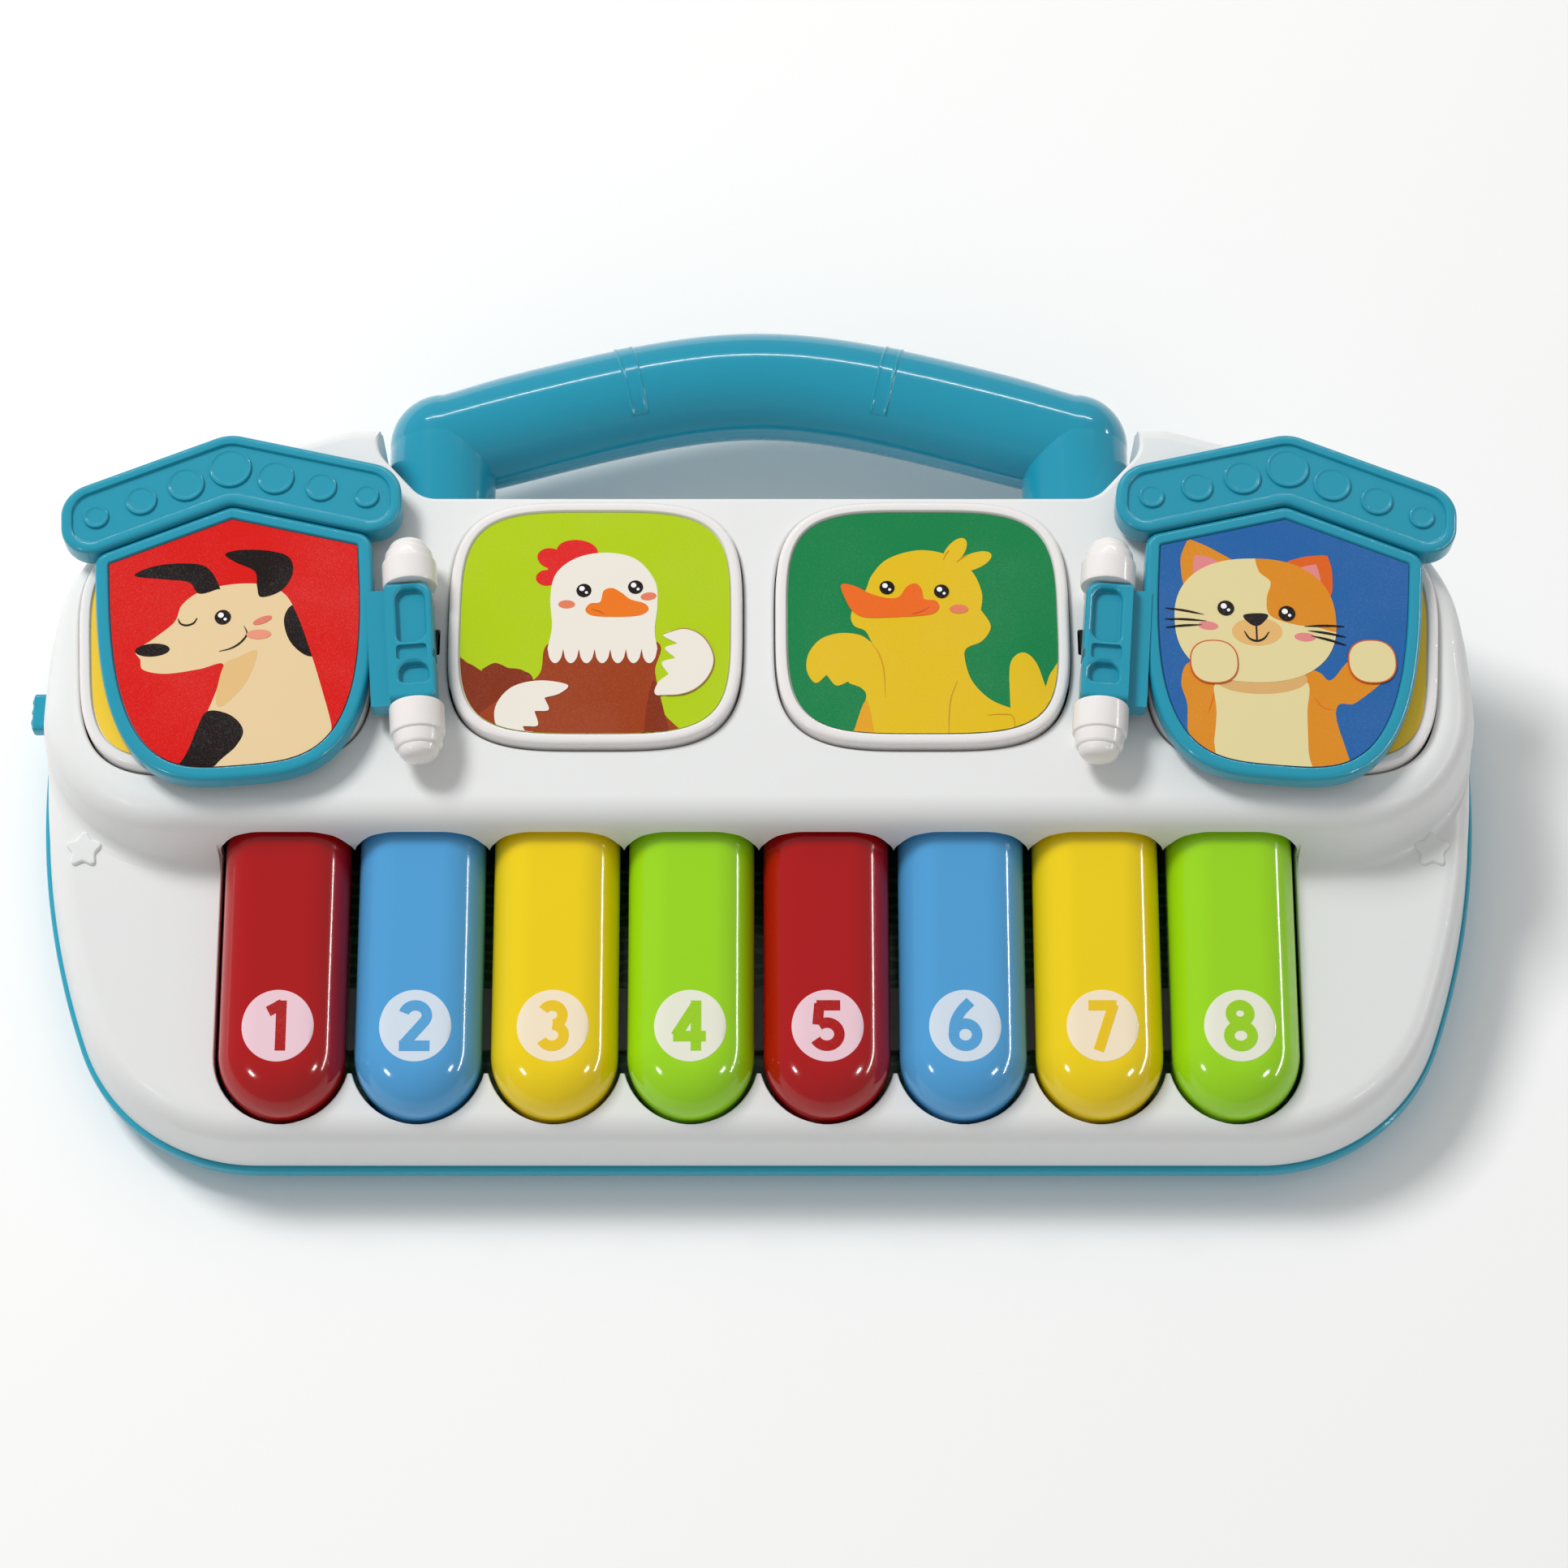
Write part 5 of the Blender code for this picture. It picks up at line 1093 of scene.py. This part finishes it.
def dogLayers():
    # dog, from the back layer to the front: smooth lines and ovals
    neck = splinePoints([
        (-21.2, 2.4), (-17.6, 5.4), (-13.6, 9.2), (-12.3, 13.2), (-8.6, 16.4), (-2.8, 18.0), (3.6, 18.2),
        (8.8, 16.2), (11.9, 11.4), (15.2, 2.8),
        (18.2, -6.4), (20.9, -16.0), (22.5, -28.0), (0.0, -33.0), (-8.0, -26.0), (-6.4, -15.5),
        (-3.6, -6.0), (-2.8, -0.6), (-7.6, -1.8),
        (-14.6, -2.9), (-19.4, -2.0), (-20.2, 0.4)], 8)
    return [
        (neck, ink["dog"]),
        (cut(splinePoints([(11.5, 13.4), (9.4, 10.0), (11.0, 4.6), (15.0, 1.2), (18.0, 3.0), (16.0, 10.0)],
        8), neck), ink["black"]),
        (splinePoints([(4.2, 2.4), (2.2, -5.0), (-2.4, -10.4), (-3.8, -8.6), (-2.6, -1.0), (0.0, 0.8)], 8),
        ink["dogShade"]),
        (splinePoints([(-5.4, -11.6), (-0.6, -12.4), (2.3, -15.8), (1.0, -19.6), (-3.0, -24.0),
        (-7.0, -32.0), (-13.0, -30.0), (-9.0, -21.0), (-7.4, -16.0)], 8), ink["black"]),
        (splinePoints([(-22.8, 20.2), (-18.0, 22.6), (-10.6, 23.0), (-7.0, 21.6), (-4.6, 17.4),
        (-5.2, 16.9), (-8.9, 15.9), (-11.2, 18.6), (-16.2, 19.3)], 8), ink["black"]),
        (splinePoints([(-3.9, 25.3), (-0.4, 26.3), (5.9, 26.0), (9.8, 24.4), (10.6, 20.6), (8.4, 16.6),
        (4.3, 15.1), (3.3, 17.6), (2.6, 21.2), (-1.6, 23.4)], 8), ink["black"]),
        (ovalPoints(-17.8, 2.6, 3.6, 1.5, 4), ink["black"]),
        stroke([(-12.9, 9.9), (-12.3, 8.8), (-11.0, 8.4), (-9.6, 8.9), (-8.9, 10.1)], 0.42, ink["black"],
        0.5),
        stroke([(1.1, 8.3), (1.8, 6.4), (0.6, 4.4), (-1.4, 3.0), (-3.8, 2.3)], 0.4, ink["black"], 0.8),
        (ovalPoints(4.3, 6.3, 2.6, 1.1, 2), (236, 152, 124)), (ovalPoints(4.9, 9.6, 2.1, 0.75, 24),
        ink["dogBlush"]),
        *eyes((-3.5, 10.3), size=1.7),
    ]


def catLayers():
    # cat, from the back layer to the front: smooth lines and ovals
    head = ovalPoints(-4.9, 9.5, 17.0, 14.7, power=2.35, count=96)
    head[:, 1] = np.where(head[:, 1] < 9.5, 9.5 + (head[:, 1] - 9.5) * 0.98, head[:, 1])
    patch = splinePoints([(-3.2, 26.0), (-3.6, 21.4), (-1.2, 18.6), (-2.2, 14.8), (-1.8, 10.8), (2.8, 8.7),
        (7.6, 8.0), (13.5, 7.4), (16.0, 18.0), (6.0, 27.0)], 8)
    leftPaw, rightPaw = ([ovalPoints(x, -0.2, 4.8 + grow, 4.8 + grow, power=2.4) for grow in (0.28,
        0)] for x in (-14.1, 19.0))
    whiskers = [((-23.7, 12.5), (-15.6, 10.9)), ((-24.0, 9.9), (-15.2, 9.4)), ((-23.9, 7.9), (-16.2, 8.5)),
                ((5.3, 8.1), (13.7, 8.1)), ((6.0, 7.1), (13.9, 5.6)), ((6.6, 5.9), (13.8, 3.7))]
    return [
        (splinePoints([(-18.8, 0.0), (-21.2, -4.6), (-20.2, -10.0), (-20.4, -17.0), (-19.4, -31.0),
        (11.6, -33.0), (10.6, -12.0), (14.8, -9.7), (20.2, -5.4),
                       (22.0, -2.6), (15.0, 0.4), (10.0, -4.4), (6.0, -2.0), (-10.0, -2.0)], 8),
                       ink["cat"]),
        stroke([(10.5, -11.4), (8.0, -10.6), (6.4, -8.4)], 0.24, ink["catDark"], 0.7),
        stroke([(-16.0, -12.0), (-15.0, -9.4), (-14.4, -7.0)], 0.24, ink["catDark"], 0.7),
        (splinePoints([(-13.6, -4.6), (-4.0, -4.0), (4.9, -4.6), (4.7, -12.0), (4.4, -21.0), (4.4, -32.0),
        (-14.6, -32.0), (-14.2, -12.0)], 6), ink["catCream"]),
        (ovalPoints(-4.4, -4.2, 9.6, 3.4), ink["catShade"]),
        (splinePoints([(-18.0, 28.6), (-17.2, 28.6), (-12.6, 26.2), (-8.0, 22.0), (-14.0, 16.0),
        (-19.0, 16.6), (-20.0, 23.6), (-18.6, 28.0)], 8), ink["cat"]),
        (splinePoints([(-16.4, 25.1), (-12.6, 23.9), (-10.0, 20.0), (-16.8, 17.6), (-17.4, 21.4),
        (-16.9, 24.8)], 8), ink["earPink"]),
        (splinePoints([(10.6, 24.9), (11.4, 24.4), (12.0, 20.2), (10.8, 14.8), (4.0, 16.0), (1.6, 22.2),
        (5.4, 24.4), (10.2, 25.0)], 8), ink["catDark"]),
        (splinePoints([(8.8, 22.6), (9.4, 19.4), (9.2, 15.6), (4.0, 18.0), (4.0, 21.4), (8.4, 22.8)], 8),
        ink["earPink"]),
        (head, ink["catCream"]), (cut(patch, head), ink["cat"]),
        (ovalPoints(-4.7, 6.9, 5.3, 3.3), ink["muzzle"]),
        (ovalPoints(-14.9, 8.3, 2.1, 1.0, -6), ink["earPink"]),
        (ovalPoints(5.3, 5.6, 2.2, 1.0, -4), ink["earPink"]),
        (splinePoints([(-7.4, 10.7), (-4.8, 11.2), (-2.2, 10.8), (-3.4, 8.9), (-4.8, 8.2), (-6.3, 8.9)], 8),
        ink["black"]),
        stroke([(-4.8, 9.0), (-4.8, 7.0), (-4.85, 5.0)], 0.36, ink["black"]),
        stroke([(-7.4, 7.0), (-6.4, 5.3), (-4.85, 4.7), (-3.3, 5.3), (-2.2, 6.8)], 0.5, ink["black"], 0.6),
        *[stroke([a, ((a[0] + b[0]) / 2, (a[1] + b[1]) / 2 + 0.12), b], 0.5, ink["black"], 0.95) for a,
        b in whiskers],
        *eyes((-11.0, 12.4), (1.8, 11.1), size=1.75),
        (leftPaw[0], ink["pawLine"]), (leftPaw[1], ink["catCream"]), (rightPaw[0], ink["pawLine"]),
        (rightPaw[1], ink["catCream"]),
    ]


def noteLayers(tint):
    # a plain pair of quavers
    return [(ovalPoints(-6.5, -7.5, 3.4, 2.5, 22), tint), (ovalPoints(6.5, -5.5, 3.4, 2.5, 22), tint),
            (np.array([(-4.6, -7), (-3.2, -7), (-3.2, 9), (-4.6, 9)]), tint),
            (np.array([(8.4, -5), (9.8, -5), (9.8, 11), (8.4, 11)]), tint),
            (np.array([(-4.6, 6.4), (9.8, 8.4), (9.8, 12.4), (-4.6, 10.4)]), tint)]


def makeButtons():
    # superellipse plates with a raised rim, tabs under the deck and a picture each
    b = buttonSizes
    grounds = {"left_inner": ink["lime"], "right_inner": ink["green"]}
    drawings = {"left_inner": henLayers(), "right_inner": duckLayers()}
    for name, x, y, halfX, halfY, turn in buttonPlaces():
        line = evenly(ovalPoints(0, 0, halfX, halfY, power=b["power"], count=240), 200)
        place = turned(x, y, turn)
        plate = meshObject("pictureButton_" + name, [framedPlate(line, 45.0, b["top"], b["rim"], 0.9, 1.1)],
            place=place)
        tabs = ovalPoints(0, 0, *((halfX + 1.2, halfY - 7) if turn == 0 else (halfX - 7, halfY + 1.2)),
            power=b["power"], count=80)
        body = f"button_{name}_body"
        finishPiece(plate, whiteTrim, body, [f"button_{name}"])
        flange = meshObject("buttonTabs_" + name, [loftPart(ringsAt(tabs,
            [(0.3, 45.05), (0, 45.3), (0, 46.3), (0.3, 46.55)]))], place=place)
        finishPiece(flange, whiteTrim, body)
        outline = shrunk(line, b["rim"] + 0.15)
        picture("picture_" + name, outline, grounds.get(name, ink["yellow"]),
            drawings.get(name, noteLayers((240, 120, 40))), b["top"] - 0.55, place, body,
                [f"button_card_{name}"])


makeButtons()
print("picture buttons finished")

doorSizes = {"wallU": 7.7, "half": 29.4, "frontV": -27.0, "eavesV": 27.5, "rim": 3.0, "power": 3.2,
    "low": -4.7, "thick": 5.0,
             "overhang": 36.3, "apexV": 54.4, "band": 17.2, "slope": math.tan(math.radians(18)),
             "raise": 1.0,
             "discs": (4.6, 4.0, 3.4, 2.7), "discStep": 9.6}


def doorLine(shrink):
    # superellipse below, straight sides, gable above
    d = doorSizes
    middle, half, eaves = d["wallU"] + d["half"], d["half"] - shrink, d["eavesV"] - shrink
    lower = ovalPoints(0, 0, half, d["eavesV"] - d["frontV"] - shrink, power=d["power"], count=240)
    lower = lower[(lower[:, 1] < -12)]
    lower = lower[np.argsort(np.arctan2(lower[:, 1], lower[:, 0]))]
    high = eaves - d["eavesV"]
    top = roundedCorners([(-half, -12, 0), (half, -12, 0), (half, high, 3.6),
        (0, high + half * d["slope"], 4.0), (-half, high, 3.6)], 12)[2:]
    return np.vstack([lower, top]) + [middle, d["eavesV"]]


def roofLine():
    # gabled band with round ends
    d = doorSizes
    m, end = d["wallU"] + d["half"], d["apexV"] - d["overhang"] * d["slope"]
    return roundedCorners([(m - d["overhang"], end - d["band"], 6.5), (m, d["apexV"] - d["band"], 4),
        (m + d["overhang"], end - d["band"], 6.5),
                           (m + d["overhang"], end, 7.5), (m, d["apexV"], 9),
                           (m - d["overhang"], end, 7.5)], 16)


def lugPart():
    # the hinge lug seen from above: a stadium-cornered block over the barrel
    h = hingeSizes["barrelHalf"]
    line = roundedCorners([(-4.6, -h, 1.6), (9.4, -h, 0.4), (9.4, h, 0.4), (-4.6, h, 2.8)], 8)
    return loftPart(ringsAt(line, [(0.6, -4.0), (0.2, -3.8), (0, -3.4)] + quarter(0, 3.0, 1.0, 1.0, 6)))


def makeDoor(name, side, ground, layers):
    # leaf with a raised rim, gabled roof band with discs, hinge lug with pockets, and the picture
    d = doorSizes
    low, high = d["low"], d["low"] + d["thick"]
    middle = d["wallU"] + d["half"]
    body = f"door_{name}_body"
    leafLine = evenly(doorLine(0), 360)
    leaf = framedPlate(leafLine, low, high, d["rim"], 0.9, 1.2, 0.8)
    roof = evenly(roofLine(), 360)
    top = high + d["raise"]
    roofSteps = [(0.8, low - 0.15), (0.2, low + 0.1), (0, low + 0.8)] + quarter(0, top - 1.1, 1.1, 1.1, 6)
    roofSteps += [(2.0, top), (2.3, top - 0.12), (2.5, top - 0.5), (2.6, top - 0.8), (2.9, top - 0.9)]
    parts = [sidePart(leaf, side), sidePart(loftPart(ringsAt(roof, roofSteps)), side)]
    for i in range(-3, 4):
        u = middle + i * d["discStep"]
        v = d["apexV"] - d["band"] / 2 - abs(i) * d["discStep"] * d["slope"]
        r = d["discs"][abs(i)]
        line = ovalPoints(u, v, r, r, count=56)
        steps = [(0, top - 1.2), (0, top - 0.5), (0.12, top - 0.3), (0.35, top - 0.22), (0.6, top - 0.3),
            (0.8, top - 0.42), (1.0, top - 0.45)]
        parts.append(sidePart(loftPart(ringsAt(line, steps)), side))
    door = meshObject("doorFrame_" + name, parts)
    finishPiece(door, tealDoor, body, [f"door_{name}"])
    lug = meshObject("hingeLug_" + name, [lugPart()])
    pockets = [[(-2.9, -0.2, 2.4), (2.9, -0.2, 1.0), (2.9, 11.9, 2.2), (-2.9, 11.9, 2.2)],
        [(-3.0, -9.6, 0.8), (2.9, -9.6, 0.8), (2.9, -5.4, 2.0), (-3.0, -5.4, 2.0)]]
    for corners in pockets:
        cutAway(lug, loftPart(ringsAt(roundedCorners(corners, 8),
            [(0.3, 2.0), (0, 2.2), (0, 3.2), (-0.3, 3.7), (-0.9, 4.05), (-0.9, 6)])))
    points, faces = loftPart(latheRings([(-hingeSizes["barrelHalf"] - 1, 1.65),
        (hingeSizes["barrelHalf"] + 1, 1.65)], 24))
    cutAway(lug, (points, [f[::-1] for f in faces]))
    notch = roundedCorners([(-8, -5.2, 0), (-4.0, -4.4, 0.6), (-4.0, -2.6, 0.6), (-8, -1.8, 0)], 5)
    cutAway(lug, loftPart(ringsAt(notch, [(0, -6), (0, 6)])))
    cutAway(lug, boxPart((-3.0, -4.6, 2.9), (3.4, -1.2, 8.0), 0.5),
        boxPart((5.2, -20, 0.7), (14, 20, 9), 0.5))
    mesh = lug.data
    place = np.empty(len(mesh.vertices) * 3)
    mesh.vertices.foreach_get("co", place)
    mesh.vertices.foreach_set("co", (hingePlace(side)(place.reshape(-1, 3) / mm) * mm).ravel())
    if side < 0:
        mesh.flip_normals()
    mesh.update()
    finishPiece(lug, tealDoor, body, sharp=35)
    outline = shrunk(leafLine, d["rim"] + 0.12) - [middle, 0]

    def cardPlace(points):
        # picture drawn about zero, moved onto the leaf; u runs the other way on the left,
        # so that the drawing isn't mirrored
        p = np.asarray(points, float)
        return hingePlace(side)(np.column_stack([middle + side * p[:, 0], p[:, 1], p[:, 2]]))

    outline = outline * [side, 1] if side > 0 else (outline * [-1, 1])[::-1]
    picture("picture_door_" + name, outline, ground, layers, high - 0.5, cardPlace, body,
        [f"door_card_{name}"], tilt=-side * hingeSizes["turn"])


for name, side, ground, layers in (("left", -1, ink["red"], dogLayers()),
        ("right", 1, ink["blue"], catLayers())):
    makeDoor(name, side, ground, layers)
print("doors finished")


def makePowerKnob():
    # slide knob with three grip ridges, each a small rounded block
    y0, y1, z0, z1 = front + 94.6, front + 103.4, 22.9, 27.1
    line = roundedCorners([(y0, z0, 1.2), (y1, z0, 1.2), (y1, z1, 1.2), (y0, z1, 1.2)], 8)
    rings = []
    for distance, x in [(0, -149.4), (0, -157.4), (0.15, -157.8), (0.5, -158.0)]:
        ring = shrunk(line, distance)
        rings.append(np.column_stack([np.full(len(ring), x), ring]))
    points, faces = loftPart(rings)
    parts = [(points, [f[::-1] for f in faces])]
    for k in (-2.4, 0, 2.4):
        middle = (y0 + y1) / 2 + k
        parts.append(boxPart((-158.3, middle - 0.5, z0 + 0.8), (-157.8, middle + 0.5, z1 - 0.8), 0.2))
    return meshObject("powerSlide", parts)


finishPiece(makePowerKnob(), tealDoor, "power_knob_body", ["power_knob"])

rubberLook, siliconeLook = grainyMatte("footRubber", (42, 42, 44)), grainyMatte("padSilicone",
    (206, 206, 200), 0.6, 700.0, 0.1)
paperLook, steelLook = grainyMatte("conePaper", (44, 40, 38), 0.92, 900.0, 0.5), brushedMetal("turnedSteel")
boardLook, sleeveLook = circuitBoard("circuitMask"), cellSleeve("cellSleeve")
carried = {"base_shell": tealBase, "battery_door": tealBase, "speaker_cone": paperLook,
    "main_board": boardLook, "button_board": boardLook,
           "key_pad_strip": siliconeLook, "power_switch": blackPlastic, "speaker_frame": steelLook,
           "speaker_magnet": steelLook, "key_axle": steelLook}
for name, node in nodes.items():
    look = carried.get(name)
    for start, found in (("foot_", rubberLook), ("cell_", sleeveLook), ("button_pad", siliconeLook),
            ("door_switch", blackPlastic), ("door_back_card", None)):
        look = found if name.startswith(start) else look
    if name.startswith(("case_screw", "battery_door_screw", "battery_contact", "hinge_pin")):
        look = steelLook
    if name.startswith("door_back_card"):
        look = whiteTrim
    if look:
        node.data.materials.clear()
        node.data.materials.append(look)
print("carried-over nodes dressed")


studio = {"floor": (255, 255, 254), "sky": 0.46, "key": 26.5, "rearStrip": 4.0, "sideStrip": 5.0,
    "tipSpot": 1.6}


def softLight(name, place, aim, sizes, watts, highlight=False, colour=(1, 1, 1)):
    # a rectangle of light at one point that faces another; it gives either the broad light or only highlights
    lamp = bpy.data.lights.new(name, "AREA")
    lamp.shape = "RECTANGLE"
    lamp.size, lamp.size_y = sizes
    lamp.energy = watts
    lamp.color = colour
    made = bpy.data.objects.new(name, lamp)
    bpy.context.scene.collection.objects.link(made)
    made.visible_glossy, made.visible_diffuse = highlight, not highlight
    made.location = place
    made.rotation_euler = (Vector(aim) - Vector(place)).to_track_quat("-Z", "Y").to_euler()
    return made


def makeStudio():
    # pale floor, even sky, one broad key light, and strips and spots that show only as highlights
    floorMesh = bpy.data.meshes.new("studioFloor")
    reach = 4.0
    floorMesh.from_pydata([(-reach, -reach, 0), (reach, -reach, 0), (reach, reach, 0), (-reach, reach, 0)],
        [], [(0, 1, 2, 3)])
    floor = bpy.data.objects.new("studioFloor", floorMesh)
    bpy.context.scene.collection.objects.link(floor)
    look = Look("studioFloor", Roughness=0.9)
    look.feed(Base_Color=look.mixed(look.noise(3, 2.0) * 0.02, solid(studio["floor"]),
        solid(studio["floor"], 0.97)))
    floorMesh.materials.append(look.material)
    world = bpy.data.worlds.new("paleStudio")
    bpy.context.scene.world = world
    world.use_nodes = True
    world.node_tree.nodes["Background"].inputs["Color"].default_value = (1, 1, 1, 1)
    world.node_tree.nodes["Background"].inputs["Strength"].default_value = studio["sky"]
    softLight("keyBox", (-0.9, 0.8, 1.7), (0, 0, 0.02), (0.55, 0.55), studio["key"])
    softLight("rearStrip", (0, 0.78, 0.75), (0, 0.05, 0.03), (1.3, 0.03), studio["rearStrip"], True)
    for side in (-1, 1):
        softLight(f"tipSpot{side}", (side * 0.66, -0.52, 0.65), (0, -0.06, 0.03), (0.13, 0.1),
            studio["tipSpot"], True)
    softLight("sideStrip", (0.85, -0.05, 0.33), (0, -0.05, 0.03), (0.9, 0.04), studio["sideStrip"], True)


makeStudio()

cameraData = bpy.data.cameras.new("photoCamera")
cameraData.lens, cameraData.sensor_width, cameraData.shift_x = 80.72, 36.0, 0.016
cameraData.clip_start, cameraData.clip_end = 0.01, 20.0
camera = bpy.data.objects.new("photoCamera", cameraData)
bpy.context.scene.collection.objects.link(camera)
camera.location = (0, -0.32337, 0.71929)
camera.rotation_euler = (math.radians(24), 0, 0)
bpy.context.scene.camera = camera
bpy.context.scene.view_settings.view_transform = "Standard"
print("studio ready")
